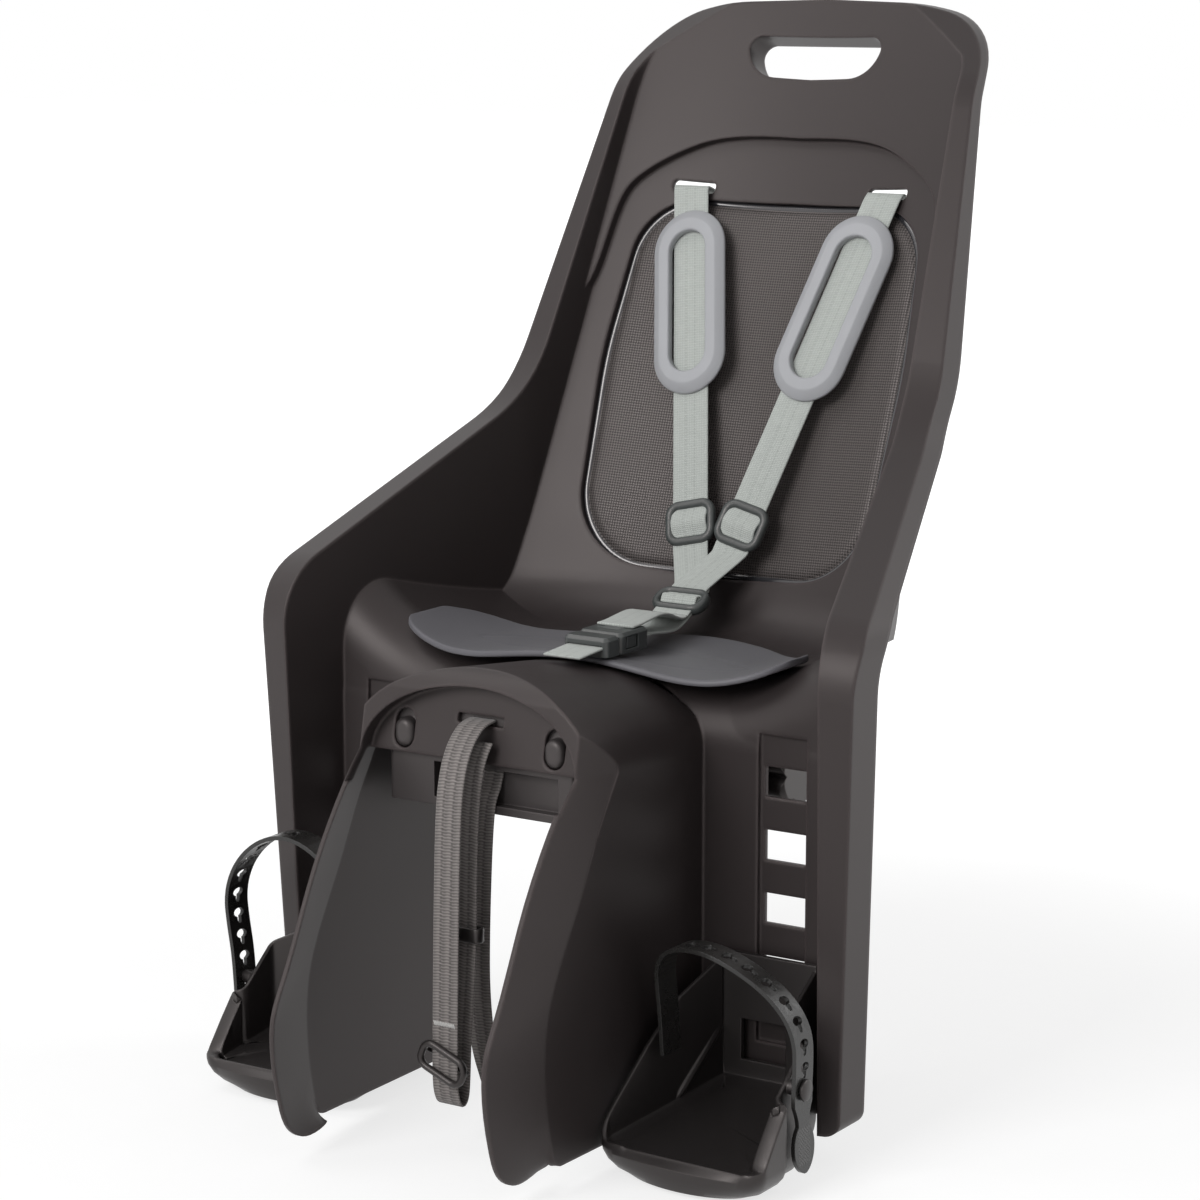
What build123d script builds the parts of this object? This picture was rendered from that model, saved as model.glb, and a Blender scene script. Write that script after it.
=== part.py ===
"""Child bike seat: moulded shell, pads, harness, height-adjustable footrests and a carrier clamp."""
import os
from math import atan2, cos, hypot, pi, sin, sqrt, tan
from build123d import *

# Drawing frame: x across, y to the back, z up, zero at the toe of the leg panels.
# Everything is moved at the end so that zero lies midway between the two carrier rails.
MOUNT_Y = 185.0
MOUNT_Z = 187.0

# Reach of cutting volumes, past every side of the seat
FAR = 900.0

# Shell
WALL = 3.2
SHELL_BOTTOM = 4.0
SEAT_Z = 264.0
CHANNEL_Y = 188.0
ROLL_R = 38.0
BACK_Y, BACK_Z = 449.0, 543.0
BACK_SLOPE = 0.385
BOWL_R = 470.0
SEAT_BACK_R = 45.0
HALF_ROOM = 213.0
PAN_X, PAN_R, PAN_STEP = 88.0, 122.0, 0.5
HEAD_STEP = 7.0
PAD_POCKET = 6.0
BACK_DEPTH = 80.0


def back_y(z):
    """The back's middle line at a height."""
    return BACK_Y + BACK_SLOPE * (z - BACK_Z)


# Rim
RIM_SWEEP, RIM_REACH = (1.0, 0.22, -0.10), 245.0
RIM_PLATE = 3.2
SKIRT = 3.0
SKIRT_TOP = 12.0
SKIRT_BEND = 27.0
SKIRT_SIDE = 30.0

# Handle hole, shoulder slots, ladder
HOLE = [(0, 615, 0), (44, 616.5, 23), (54, 643, 9), (0, 643, 0)]
HOLE_LIP, HOLE_LIP_BACK, HOLE_LIP_FRONT = 3.0, 12.0, 13.0
SLOT_X, SLOT_Z, SLOT_W, SLOT_H, SLOT_R = 74.4, 543.3, 31.0, 8.0, 3.0
TRACK_X0, TRACK_X1 = 130.0, 163.5
TRACK_LOW, TRACK_TOP, TRACK_DEPTH = 47.0, 239.0, 3.0
WINDOW_X0, WINDOW_X1, WINDOW_H, WINDOW_DROP, WINDOWS = 133.5, 162.0, 19.0, 20.0, 4
LADDER_PITCH = 39.3

# Arch between the legs
ARCH_Y0, ARCH_Y1, SADDLE_END = -60.0, 280.0, 232.0
ARCH_W, ARCH_FLARE, ARCH_SPRING = 87.4, 0.02, 226.0
CROWN_Y, CROWN_RISE, CROWN_FALL = 93.0, 55.0, 0.125
BROW_Z, BROW_LOW = 267.0, 228.0
NOSE = (96.0, 284.0)
NOSE_MID, NOSE_CREASE = (82.5, 277.5), (97.0, 276.0)
LEG_EDGE_X, LEG_CREASE_X = 78.0, 88.6
ARCH_FRONT_Y, ARCH_FRONT_LEAN = 66.0, 0.2
BULKHEAD_Z = 226.0
BULKHEAD_BAND, BULKHEAD_BACK, BULKHEAD_T = 11.0, 16.0, 4.0
LUG_X, LUG_Z, LUG_SLOT_W, LUG_SLOT_H = 54.6, 240.2, 15.0, 24.0
STRAP_SLOT_Z, STRAP_SLOT_W, STRAP_SLOT_H, STRAP_SLOT_R = 251.0, 34.0, 6.0, 1.5


def crown_z(y):
    """Top of the saddle along the middle."""
    return ARCH_SPRING + CROWN_RISE - CROWN_FALL * (y - CROWN_Y)


# Pads
SEAT_PAD_T = 4.0
SEAT_PAD_PLAN = [(0, 174, 0), (96, 177, 50), (147, 202, 24), (146, 254, 28), (76, 274, 90),
                 (0, back_y(SEAT_Z) - 38, 0)]
BACK_PAD_T = 3.5
PAD_GAP = 0.3

# Harness
WEB_W, WEB_T = 25.0, 1.6
STRAP_TOP = (73.5, back_y(541.0) - 10.7, 541.0)
SLIDER_AT = (20.0, back_y(332.6) - 16.4, 332.6)
JOIN_AT = (0.0, back_y(288.0) - 41.8, 288.0)
JOIN_WAY = (0.0, -1.0, -0.55)
STRAP_LIFT = (0.0, -0.7, 0.8)
SHOULDER_PAD_L, SHOULDER_PAD_W, SHOULDER_PAD_T = 124.0, 46.0, 6.0
SHOULDER_PAD_AT = 0.345
SHOULDER_PAD_BEVEL = 2.5
SHOULDER_WINDOW_L, SHOULDER_WINDOW_W = 97.0, 27.0
SLIDER_W, SLIDER_L, SLIDER_T = 36.0, 29.0, 7.0
JOIN_W, JOIN_L, JOIN_T = 40.0, 21.0, 9.0
GLIDE_RING, GLIDE_CORNER, GLIDE_EDGE, GLIDE_BAR = 5.0, 9.0, 1.2, 5.0
STRAP_SLACK = 0.4
STRAP_TAIL, STRAP_OUT, STRAP_FOLD = 9.0, 8.0, 6.0
STRAP_REACH, JOIN_REACH = 4.0, 0.6
BUCKLE_AT = (13.0, 208.0, crown_z(208.0) + 15.2)
BUCKLE_W, BUCKLE_L, BUCKLE_T, BUCKLE_WALL, BUCKLE_EDGE = 33.0, 32.0, 13.0, 4.0, 2.0
PRONG_BASE, PRONG_L, PRONG_W, PRONG_T = 16.0, 20.0, 6.0, 7.0
PRONG_GAP, PRONG_PAD = 0.5, 10.0
STRAP_POCKET = 8.0
LOOP_RISE, LOOP_SAG = 9.0, 4.0

# Safety strap
SAFETY_W, SAFETY_T = 20.0, 1.5
SAFETY_FRONT_Y, SAFETY_LOOP_Y, SAFETY_REAR_Y, SAFETY_LOW = 49.0, 56.0, 63.0, 19.0
SAFETY_GLIDE_W, SAFETY_GLIDE_H, SAFETY_GLIDE_T, SAFETY_GLIDE_R = 34.0, 20.0, 6.0, 5.0
SAFETY_GLIDE_Z = 45.0
KEEPER_Y, KEEPER_Z, KEEPER_H, KEEPER_WALL, KEEPER_T = 64.2, 120.0, 9.0, 2.0, 6.0

# Carrier clamp
RAIL_X, RAIL_R, RAIL_PLAY = 66.0, 6.0, 0.05
CLAMP_W, CLAMP_LOW, CLAMP_HIGH, CLAMP_END = 136.0, 195.0, 256.0, 264.0
CLAMP_RIB, CLAMP_CORNER = 6.0, 4.0
RECESS_X0, RECESS_X1, RECESS_D, RECESS_LOW, RECESS_TOP = -34.0, 56.0, 7.0, 200.0, 222.0
LUG_PLAY_W, LUG_PLAY_H, LUG_DROP, LUG_STAND, LUG_L, LUG_DOME = 1.6, 6.0, 2.6, 3.0, 14.0, 4.0
JAW_Y0, JAW_Y1 = 156.0, 254.0
JAW_IN, JAW_OUT, JAW_LOW, JAW_TOP = 24.0, 60.0, 178.0, 222.0
JAW_PLAY, JAW_STEP, JAW_GAP = 0.5, 14.0, 1.5
SPINDLE_Y, SPINDLE_Z, SPINDLE_R, SPINDLE_PLAY = 226.0, 209.0, 5.0, 0.05
SPINDLE_X0, SPINDLE_X1, SPINDLE_EDGE = -60.0, 132.0, 0.8
KNOB_X0, KNOB_X1, KNOB_R, KNOB_LOBE, KNOB_LOBES = 114.0, 138.0, 15.0, 8.5, 6
KNOB_EDGE = 3.0
RING_X0, RING_R = 107.0, 18.0

# Footrests; plan corners are (across, forward of the channel, radius)
FOOT_CORNERS = [(93, -141, 20), (188, -137, 32), (204, -94, 14), (204, -60, 5), (181, -48, 5), (175, -4, 3),
                (109, -4, 3)]
FOOT_PLAN = [(x, CHANNEL_Y + y, r) for x, y, r in FOOT_CORNERS]
FOOT_WALL, FOOT_EDGE_R = 3.5, 6.0
FOOT_LOW, FOOT_FRONT_Z, FOOT_SLOPE = -11.0, 10.0, 0.095
FOOT_INNER_X, FOOT_OUTER_X = 122.0, 172.0
FOOT_INNER_TOP = [(-142, 11), (-136, 30), (-124, 52), (-109, 68), (-92, 78), (-63, 88), (-38, 95), (2, 103)]
FOOT_OUTER_TOP = [(-139, 11), (-104, 16), (-89, 30), (-85, 60), (-71, 60), (-67, 34), (-38, 26), (2, 26)]
FOOT_BACK_TOP = 104.0
FOOT_WINDOW_X0, FOOT_WINDOW_X1, FOOT_WINDOW_LOW, FOOT_WINDOW_TOP = 124.0, 168.0, 34.0, 62.0
TONGUE_PLAY, TONGUE_LOW, TONGUE_TOP = 1.0, 64.0, 97.0
STUD_Y, STUD_Z, STUD_R, STUD_HEAD, STUD_HEAD_T = CHANNEL_Y - 78.0, 52.0, 4.5, 6.5, 2.4
FOOT_STRAP_W, FOOT_STRAP_T, FOOT_STRAP_X = 20.0, 2.6, 206.8
FOOT_STRAP_PATH = [(109.6, -64, 56), (109.6, -58, 75), (110, -54, 92), (113, -58, 108), (122, -70, 121),
                   (141, -89, 129), (163, -104, 130), (181, -108, 124), (195, -97, 108), (203, -84, 90),
                   (206.4, -79, 74), (FOOT_STRAP_X, -78, 62), (FOOT_STRAP_X, -78, 40),
                   (FOOT_STRAP_X, -76, 22), (FOOT_STRAP_X, -73, 0)]

# Outlines; corners are (across, along, radius)
RIM_TOP, RIM_BEHIND = 716.0, 1100.0
RIM_PROFILE = [(back_y(RIM_TOP) + 4.4, RIM_TOP, 0), (back_y(629) - 70.1, 629, 60),
               (back_y(426.8) - 91.0, 426.8, 110), (98.4, 327, 48), (112, 0, 0)]
OUTLINE = [(0, 8, 0), (206.5, 8, 10), (218, 310, 40), (163.1, 405, 60), (131.5, 655, 60),
           (70, 668.5, 160), (0, 670.5, 0)]
WALL_PLAN = [(-30, -300, 0), (207.7, -300, 0), (207.7, 100, 0), (140.9, BACK_Y - 107.5, 120),
             (121, BACK_Y + 13, 40), (55, BACK_Y + 57, 60), (-30, BACK_Y + 63, 0)]
PAD_EDGE = [(-40, 294, 0), (109, 300, 52), (116, 430, 300), (106, 535, 44), (-40, 537, 0)]
HEAD_EDGE = [(0, 577), (41, 576.5), (69, 571), (88, 562), (100.5, 554), (109.4, 546.6), (116.6, 538),
             (121, 526), (125, 500), (140, 455)]

# Side view of a leg panel from the bulkhead down: its front edge, and the crease behind the front band
LEG_EDGE = [(52, 212.5), (41, 198.5), (15, 158), (-14, 101), (-24, 81), (-25.5, 66), (-19, 27),
            (-11, 9), (2, 0.5), (19, 0), (36, SHELL_BOTTOM)]
LEG_CREASE = [(86, 212.5), (77, 198.5), (56, 158), (28, 101), (25, 85), (24, 66), (27, 27),
              (29, 12), (31, 7), (33.5, 5), (36, SHELL_BOTTOM)]

tilt = atan2(BACK_SLOPE, 1.0)
back_up = Vector(0, sin(tilt), cos(tilt))
back_out = Vector(0, -cos(tilt), sin(tilt))
back_plane = Plane(origin=(0, BACK_Y, BACK_Z), x_dir=(1, 0, 0), z_dir=back_out)


def grown(corners, d):
    """Corner list moved outward by d; the corners run anticlockwise."""
    n = len(corners)
    lines = []
    for i in range(n):
        ax, ay, _ = corners[i]
        bx, by, _ = corners[(i + 1) % n]
        length = hypot(bx - ax, by - ay)
        ux, uy = (bx - ax) / length, (by - ay) / length
        lines.append((ax + uy * d, ay - ux * d, ux, uy))
    out = []
    for i in range(n):
        px, py, ux, uy = lines[i - 1]
        qx, qy, vx, vy = lines[i]
        cross = ux * vy - uy * vx
        s = ((qx - px) * vy - (qy - py) * vx) / cross
        r = corners[i][2]
        if r:
            r = max(r + (d if cross > 0 else -d), 0.2)
        out.append((px + s * ux, py + s * uy, r))
    return out


def rounded(corners):
    """Flat face from a corner list, each corner rounded to its radius."""
    n = len(corners)
    ends = []
    for i in range(n):
        ax, ay, _ = corners[i - 1]
        x, y, r = corners[i]
        bx, by, _ = corners[(i + 1) % n]
        if r == 0:
            ends.append(((x, y), None, (x, y)))
            continue
        la, lb = hypot(ax - x, ay - y), hypot(bx - x, by - y)
        u = ((ax - x) / la, (ay - y) / la)
        v = ((bx - x) / lb, (by - y) / lb)
        half = atan2(abs(u[0] * v[1] - u[1] * v[0]), u[0] * v[0] + u[1] * v[1]) / 2
        t = r / tan(half)
        bis = (u[0] + v[0], u[1] + v[1])
        size = hypot(*bis)
        mid = r / sin(half) - r
        ends.append(((x + u[0] * t, y + u[1] * t),
                     (x + bis[0] / size * mid, y + bis[1] / size * mid),
                     (x + v[0] * t, y + v[1] * t)))
    edges = []
    for i in range(n):
        start, mid, end = ends[i]
        if mid:
            edges.append(ThreePointArc(start, mid, end))
        after = ends[(i + 1) % n][0]
        if hypot(after[0] - end[0], after[1] - end[1]) > 1e-6:
            edges.append(Line(end, after))
    return make_face(edges)


def along_x(face, x0, x1):
    return extrude(Plane.YZ.offset(x0) * face, x1 - x0)


def along_y(face, y0, y1):
    return extrude(Plane.XZ.offset(-y1) * face, y1 - y0)


def along_z(face, z0, z1):
    return extrude(Plane.XY.offset(z0) * face, z1 - z0)


def block(x0, x1, y0, y1, z0, z1):
    return Pos((x0 + x1) / 2, (y0 + y1) / 2, (z0 + z1) / 2) * Box(x1 - x0, y1 - y0, z1 - z0)


def bowl(o):
    """Round front volume whose rear surface is the hollow of the back, moved back by o."""
    axis = Plane(origin=Vector(0, BACK_Y, BACK_Z) + back_out * BOWL_R, x_dir=back_out, z_dir=back_up)
    return axis * Cylinder(BOWL_R + o, 3 * FAR)


def on_back(face, o0=-BACK_DEPTH, o1=BACK_DEPTH):
    """Prism of a face drawn on the back, in x and height above the zero height of the back line."""
    return extrude(back_plane.offset(o0) * face, o1 - o0)


def back_height(z):
    return (z - BACK_Z) / cos(tilt)


def pad_area(d):
    """Right half of the back pad's outline, grown by d."""
    corners = [(x, back_height(z), r) for x, z, r in PAD_EDGE]
    return rounded(grown(corners, d)) & Pos(FAR, 0) * Rectangle(2 * FAR, 2 * FAR)


def head_area(d):
    """Right half of the raised head part, shrunk by d."""
    pts = []
    for i, (x, z) in enumerate(HEAD_EDGE):
        a = HEAD_EDGE[max(i - 1, 0)]
        b = HEAD_EDGE[min(i + 1, len(HEAD_EDGE) - 1)]
        length = hypot(b[0] - a[0], b[1] - a[1])
        nx, nz = -(b[1] - a[1]) / length, (b[0] - a[0]) / length
        pts.append((x + nx * d if i else 0, back_height(z + nz * d)))
    low = pts[-1]
    return make_face([Spline(*pts), Polyline(low, (FAR, low[1]), (FAR, FAR), (0, FAR), pts[0])])


def hole_area(d):
    """Right half of the handle hole, grown by d."""
    corners = [(x, back_height(z), r) for x, z, r in HOLE]
    return rounded(grown(corners, d)) & Pos(FAR, 0) * Rectangle(2 * FAR, 2 * FAR)


def seat_cavity(o):
    """Room in front of the shell's right half, grown by o into the wall."""
    r = ROLL_R - o
    cy, cz = CHANNEL_Y + ROLL_R, SEAT_Z - ROLL_R
    roll = ThreePointArc((cy - r, cz), (cy - r * sqrt(0.5), cz + r * sqrt(0.5)), (cy, cz + r))
    side = make_face([roll, Polyline((cy, cz + r), (FAR, cz + r), (FAR, FAR), (-FAR, FAR), (-FAR, -FAR),
                                     (cy - r, -FAR), (cy - r, cz))])
    room = along_x(side, 0, HALF_ROOM) & bowl(o)
    corner = [e for e in room.edges() if abs(e.center().Z - (SEAT_Z - o)) < 0.01
              and e.geom_type != GeomType.LINE]
    room = fillet(corner, SEAT_BACK_R + o)
    room &= along_z(rounded(grown(WALL_PLAN, o)), -FAR, FAR)
    pan_front = CHANNEL_Y + PAN_STEP + o
    pan = block(PAN_X, PAN_X + 1.3 * PAN_R, pan_front, BACK_Y, SEAT_Z - PAN_R, SEAT_Z + PAN_R / 2)
    pan -= Pos(PAN_X, 0, SEAT_Z - PAN_STEP + PAN_R) * Rot(90, 0, 0) * Cylinder(PAN_R + o, 2 * FAR)
    front = [e for e in pan.edges() if abs(e.center().Y - pan_front) < 0.01 and e.geom_type != GeomType.LINE]
    room -= fillet(front, ROLL_R - o)
    room -= on_back(head_area(o)) - bowl(o - HEAD_STEP)
    room += on_back(pad_area(o)) & bowl(PAD_POCKET + o)
    room += block(TRACK_X0 - o, TRACK_X1 + o, CHANNEL_Y - ROLL_R, CHANNEL_Y + TRACK_DEPTH + o,
                  TRACK_LOW - o, TRACK_TOP + o)
    return room


def behind_rim(d=0.0, skirt=False):
    """Volume behind the rim's front, the front moved back by d, or to the rear edge of the skirt."""
    depths = (SKIRT_TOP, SKIRT_TOP, SKIRT_BEND, SKIRT_SIDE, SKIRT_SIDE)
    front = [(y + (depth if skirt else 0), z, r) for (y, z, r), depth in zip(RIM_PROFILE, depths)]
    corners = [(RIM_BEHIND, 0, 0), (RIM_BEHIND, RIM_TOP, 0)] + front
    sweep = Vector(*RIM_SWEEP)
    return extrude(Plane.YZ * rounded(grown(corners, -d)), RIM_REACH * sweep.length, dir=sweep)


def arch_section(y, o):
    """Right half of the outline across the legs: upright sides under a half ellipse, shrunk by o."""
    w = ARCH_W + ARCH_FLARE * y - o
    rise = crown_z(y) - ARCH_SPRING - o
    crown = EllipticalCenterArc((0, ARCH_SPRING), w, rise, arc_size=90)
    legs = Polyline((0, ARCH_SPRING + rise), (0, -FAR), (w, -FAR), (w, ARCH_SPRING))
    return Plane(origin=(0, y, 0), x_dir=(1, 0, 0), z_dir=(0, -1, 0)) * make_face([crown, legs])


def arch(o):
    """Right half of the solid between the legs, shrunk by o."""
    return loft([arch_section(ARCH_Y0, o), arch_section(ARCH_Y1, o)], ruled=True)


def arch_front(z):
    return ARCH_FRONT_Y + ARCH_FRONT_LEAN * (z - BULKHEAD_Z)


def leg_side(brow_y, low_y, nose_mid, edge):
    """Side view of the legs and the saddle behind one front line."""
    brow, low = (brow_y, BROW_Z), (low_y, BROW_LOW)
    rear = Polyline(edge[-1], (ARCH_Y1, SHELL_BOTTOM), (ARCH_Y1, FAR), (NOSE[0], FAR), NOSE)
    return make_face([ThreePointArc(NOSE, nose_mid, brow), Line(brow, low), Spline(low, *edge), rear])


def legs(o):
    """Right half of the legs in side view; the front band slopes in from the crease; shrunk by o."""
    front = leg_side(arch_front(BROW_Z), arch_front(BROW_LOW), NOSE_MID, LEG_EDGE)
    crease = leg_side(NOSE[0], NOSE[0], NOSE_CREASE, LEG_CREASE)
    inner, outer = LEG_EDGE_X - o, LEG_CREASE_X - o
    band = loft([Plane.YZ.offset(inner) * front, Plane.YZ.offset(outer) * crease], ruled=True)
    return along_x(front, 0, inner) + band + along_x(crease, outer, 1.5 * outer)


def bulkhead_cut(shape, x, z):
    """Hole straight through the bulkhead."""
    return along_y(Pos(x, z) * shape, ARCH_FRONT_Y - BULKHEAD_BACK, ARCH_FRONT_Y + 2 * BULKHEAD_BACK)


def shell_half():
    """Right half of the moulding, up to the middle plane."""
    front = behind_rim()
    outer = along_y(rounded(OUTLINE), -FAR, FAR)
    inner = along_y(rounded(grown(OUTLINE, -SKIRT)), -FAR, FAR)
    half = seat_cavity(WALL)
    half += (front - behind_rim(RIM_PLATE)) & outer
    half += (front - behind_rim(skirt=True)) & (outer - inner)
    half += on_back(hole_area(HOLE_LIP), -HOLE_LIP_BACK, HOLE_LIP_FRONT)
    half = (half & front & outer) - seat_cavity(0.0)
    half -= on_back(hole_area(0.0))
    half -= on_back(Pos(SLOT_X, back_height(SLOT_Z)) * RectangleRounded(SLOT_W, SLOT_H, SLOT_R))
    saddle = block(0, FAR, -FAR, CHANNEL_Y + WALL, -FAR, FAR)
    saddle += block(0, FAR, 0, SADDLE_END, SEAT_Z - WALL, FAR)
    half += arch(0.0) & legs(0.0) & saddle
    half -= block(-1, FAR, LEG_EDGE[-1][0] + WALL, FAR, -FAR, SHELL_BOTTOM)
    under = Polyline((-FAR, -FAR), (FAR, -FAR), (FAR, FAR), (arch_front(FAR) + BULKHEAD_BACK, FAR),
                     (arch_front(BULKHEAD_Z) + BULKHEAD_BACK, BULKHEAD_Z), (-FAR, BULKHEAD_Z), close=True)
    half -= arch(WALL) & Pos(0, -WALL / 2, -WALL / 2) * legs(WALL) & along_x(make_face(under), -1, FAR)
    low, high = BULKHEAD_Z - BULKHEAD_BACK, ARCH_SPRING + CROWN_RISE + BULKHEAD_BACK
    floor = BULKHEAD_BACK - BULKHEAD_T
    pocket = Polyline((-FAR, low), (arch_front(low) + floor, low), (arch_front(high) + floor, high),
                      (-FAR, high), close=True)
    half -= arch(BULKHEAD_BAND) & along_x(make_face(pocket), -1, FAR)
    half -= bulkhead_cut(SlotOverall(LUG_SLOT_H, LUG_SLOT_W, rotation=90), LUG_X, LUG_Z)
    half -= bulkhead_cut(RectangleRounded(STRAP_SLOT_W, STRAP_SLOT_H, STRAP_SLOT_R), 0, STRAP_SLOT_Z)
    for i in range(WINDOWS):
        z = TRACK_TOP - WINDOW_DROP - i * LADDER_PITCH
        half -= block(WINDOW_X0, WINDOW_X1, CHANNEL_Y - ROLL_R / 2, CHANNEL_Y + ROLL_R, z - WINDOW_H, z)
    return half


def mirrored(solid):
    return mirror(solid, about=Plane.YZ)


def ribbon(path, side, width, thick):
    """Flat band along a path that never twists; side is the direction across it."""
    pts = [Vector(*p) for p in path]
    across = Vector(*side)
    faces = []
    for i, p in enumerate(pts):
        t = (pts[min(i + 1, len(pts) - 1)] - pts[max(i - 1, 0)]).normalized()
        square = t - across * t.dot(across)
        faces.append(Plane(origin=p, x_dir=across, z_dir=square) * Rectangle(width / square.length, thick))
    return loft(faces, ruled=True)


def seat_pad():
    lower = seat_cavity(0.0) - arch(0.0)
    upper = seat_cavity(-SEAT_PAD_T) - arch(-SEAT_PAD_T)
    half = (lower - upper) & along_z(rounded(SEAT_PAD_PLAN), SEAT_Z - SEAT_PAD_T, SEAT_Z + PAN_R / 2)
    return half + mirrored(half)


def back_pad():
    half = (on_back(pad_area(-PAD_GAP)) & bowl(PAD_POCKET)) - bowl(PAD_POCKET - BACK_PAD_T)
    return half + mirrored(half)


def frame_at(point, direction, side):
    """Plane at a point whose x runs along direction and whose y runs along side."""
    d = Vector(*direction).normalized()
    s = Vector(*side)
    s = (s - d * s.dot(d)).normalized()
    return Plane(origin=Vector(*point), x_dir=d, z_dir=d.cross(s))


def strap_line(right):
    """Both ends of a shoulder strap's straight run; the two straps lie in layers where they meet."""
    side = 1 if right else -1
    lift = Vector(*STRAP_LIFT) * side
    return [Vector(side * x, y, z) + lift for x, y, z in (STRAP_TOP, SLIDER_AT)]


def strap_frame(place, right):
    """Frame on the straight run of a shoulder strap; place runs from 0 at the slot to 1 at its slide."""
    a, b = strap_line(right)
    return frame_at(a + (b - a) * place, b - a, (1, 0, 0))


def shoulder_strap(right):
    top, end = strap_line(right)
    side = 1 if right else -1
    run = (end - top).normalized()
    fore = Vector(*JOIN_WAY).normalized()
    join = Vector(*JOIN_AT) + Vector(*STRAP_LIFT) * side
    reach = SLIDER_L / 2 + STRAP_REACH
    hold = JOIN_L / 2 + JOIN_REACH
    slot = Vector(side * SLOT_X, back_y(SLOT_Z), SLOT_Z)
    path = [slot - back_out * STRAP_TAIL, slot + back_out * STRAP_OUT,
            slot + back_out * (STRAP_OUT + WEB_T) + Vector(0, 0, -WEB_T), top, top + run * STRAP_FOLD,
            end - run * reach, end + run * reach, end + run * (reach + STRAP_REACH / 2),
            join - fore * (hold + STRAP_REACH), join - fore * hold, join + fore * (hold + STRAP_REACH)]
    return ribbon(path, (1, 0, 0), WEB_W, WEB_T)


def shoulder_pad(right):
    place = strap_frame(SHOULDER_PAD_AT, right)
    ring = extrude(SlotOverall(SHOULDER_PAD_L, SHOULDER_PAD_W), SHOULDER_PAD_T)
    ring = chamfer(ring.faces().sort_by(Axis.Z)[-1].edges(), SHOULDER_PAD_BEVEL)
    ring -= extrude(SlotOverall(SHOULDER_WINDOW_L, SHOULDER_WINDOW_W), 3 * SHOULDER_PAD_T, both=True)
    ring = Pos(0, 0, WEB_T / 2 + PAD_GAP) * ring
    if place.z_dir.Y > 0:
        ring = mirror(ring, about=Plane.XY)
    return place * ring


def glide(width, length, thick, opening):
    """Ring slide: the webbing runs along x behind the front ring and over the bar at the back."""
    flat = RectangleRounded(length, width, GLIDE_CORNER)
    body = extrude(flat, thick / 2, both=True)
    body = chamfer(body.faces().sort_by(Axis.Z)[-1].edges(), GLIDE_EDGE)
    body -= Box(length * 2, WEB_W + 2 * STRAP_SLACK, opening)
    window = RectangleRounded(length - 2 * GLIDE_RING, width - 2 * GLIDE_RING, GLIDE_CORNER - GLIDE_RING)
    body -= extrude(window, thick)
    behind = extrude(Rectangle(length - 2 * GLIDE_RING, WEB_W + 2 * STRAP_SLACK), -thick)
    return body - (behind - Box(GLIDE_BAR, width, 4 * thick))


def join_frame():
    return frame_at(JOIN_AT, JOIN_WAY, (1, 0, 0))


def buckle_frame():
    return Plane(origin=BUCKLE_AT, x_dir=(0, -1, 0), z_dir=(0, 0, 1))


def buckle_body():
    """Rear half of the buckle, open at the front and at both sides for the prongs."""
    body = extrude(RectangleRounded(BUCKLE_L, BUCKLE_W, BUCKLE_WALL), BUCKLE_T / 2, both=True)
    body = chamfer(body.faces().sort_by(Axis.Z)[-1].edges(), BUCKLE_EDGE)
    room = PRONG_T + 2 * PRONG_GAP
    middle = (BUCKLE_L - PRONG_L) / 2
    body -= Pos(middle, 0, 0) * Box(PRONG_L + 2 * PRONG_GAP, BUCKLE_W - 2 * BUCKLE_WALL, room)
    for side in (-1, 1):
        window = Box(PRONG_PAD + BUCKLE_WALL, 4 * BUCKLE_WALL, room)
        body -= Pos(middle - BUCKLE_EDGE, side * BUCKLE_W / 2, 0) * window
    body -= Pos(-BUCKLE_L / 2, 0, 0) * Box(2 * STRAP_POCKET, WEB_W + 2 * STRAP_SLACK, 3 * WEB_T)
    return buckle_frame() * body


def buckle_tongue():
    """Front half of the buckle: a base for the strap and two springy prongs."""
    front = BUCKLE_L / 2 + PRONG_GAP + PRONG_BASE
    middle = (BUCKLE_L - PRONG_L) / 2
    base = Pos(front - PRONG_BASE / 2, 0, 0) * Box(PRONG_BASE, BUCKLE_W, BUCKLE_T - 2 * PRONG_GAP)
    base = fillet(base.edges().filter_by(Axis.Z), BUCKLE_WALL)
    base = chamfer(base.faces().sort_by(Axis.Z)[-1].edges(), BUCKLE_EDGE)
    for side in (-1, 1):
        inside = side * (BUCKLE_W / 2 - BUCKLE_WALL - PRONG_W / 2 - PRONG_GAP)
        base += Pos(middle + BUCKLE_EDGE / 2, inside, 0) * Box(PRONG_L + BUCKLE_EDGE / 2, PRONG_W, PRONG_T)
        grip = Pos(middle - BUCKLE_EDGE, side * (BUCKLE_W / 2 - BUCKLE_WALL + PRONG_GAP), 0)
        base += grip * Box(PRONG_PAD, PRONG_W, PRONG_T)
    base -= Pos(front, 0, 0) * Box(2 * STRAP_POCKET, WEB_W + 2 * STRAP_SLACK, WEB_T + 2 * STRAP_SLACK)
    return buckle_frame() * base


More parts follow.
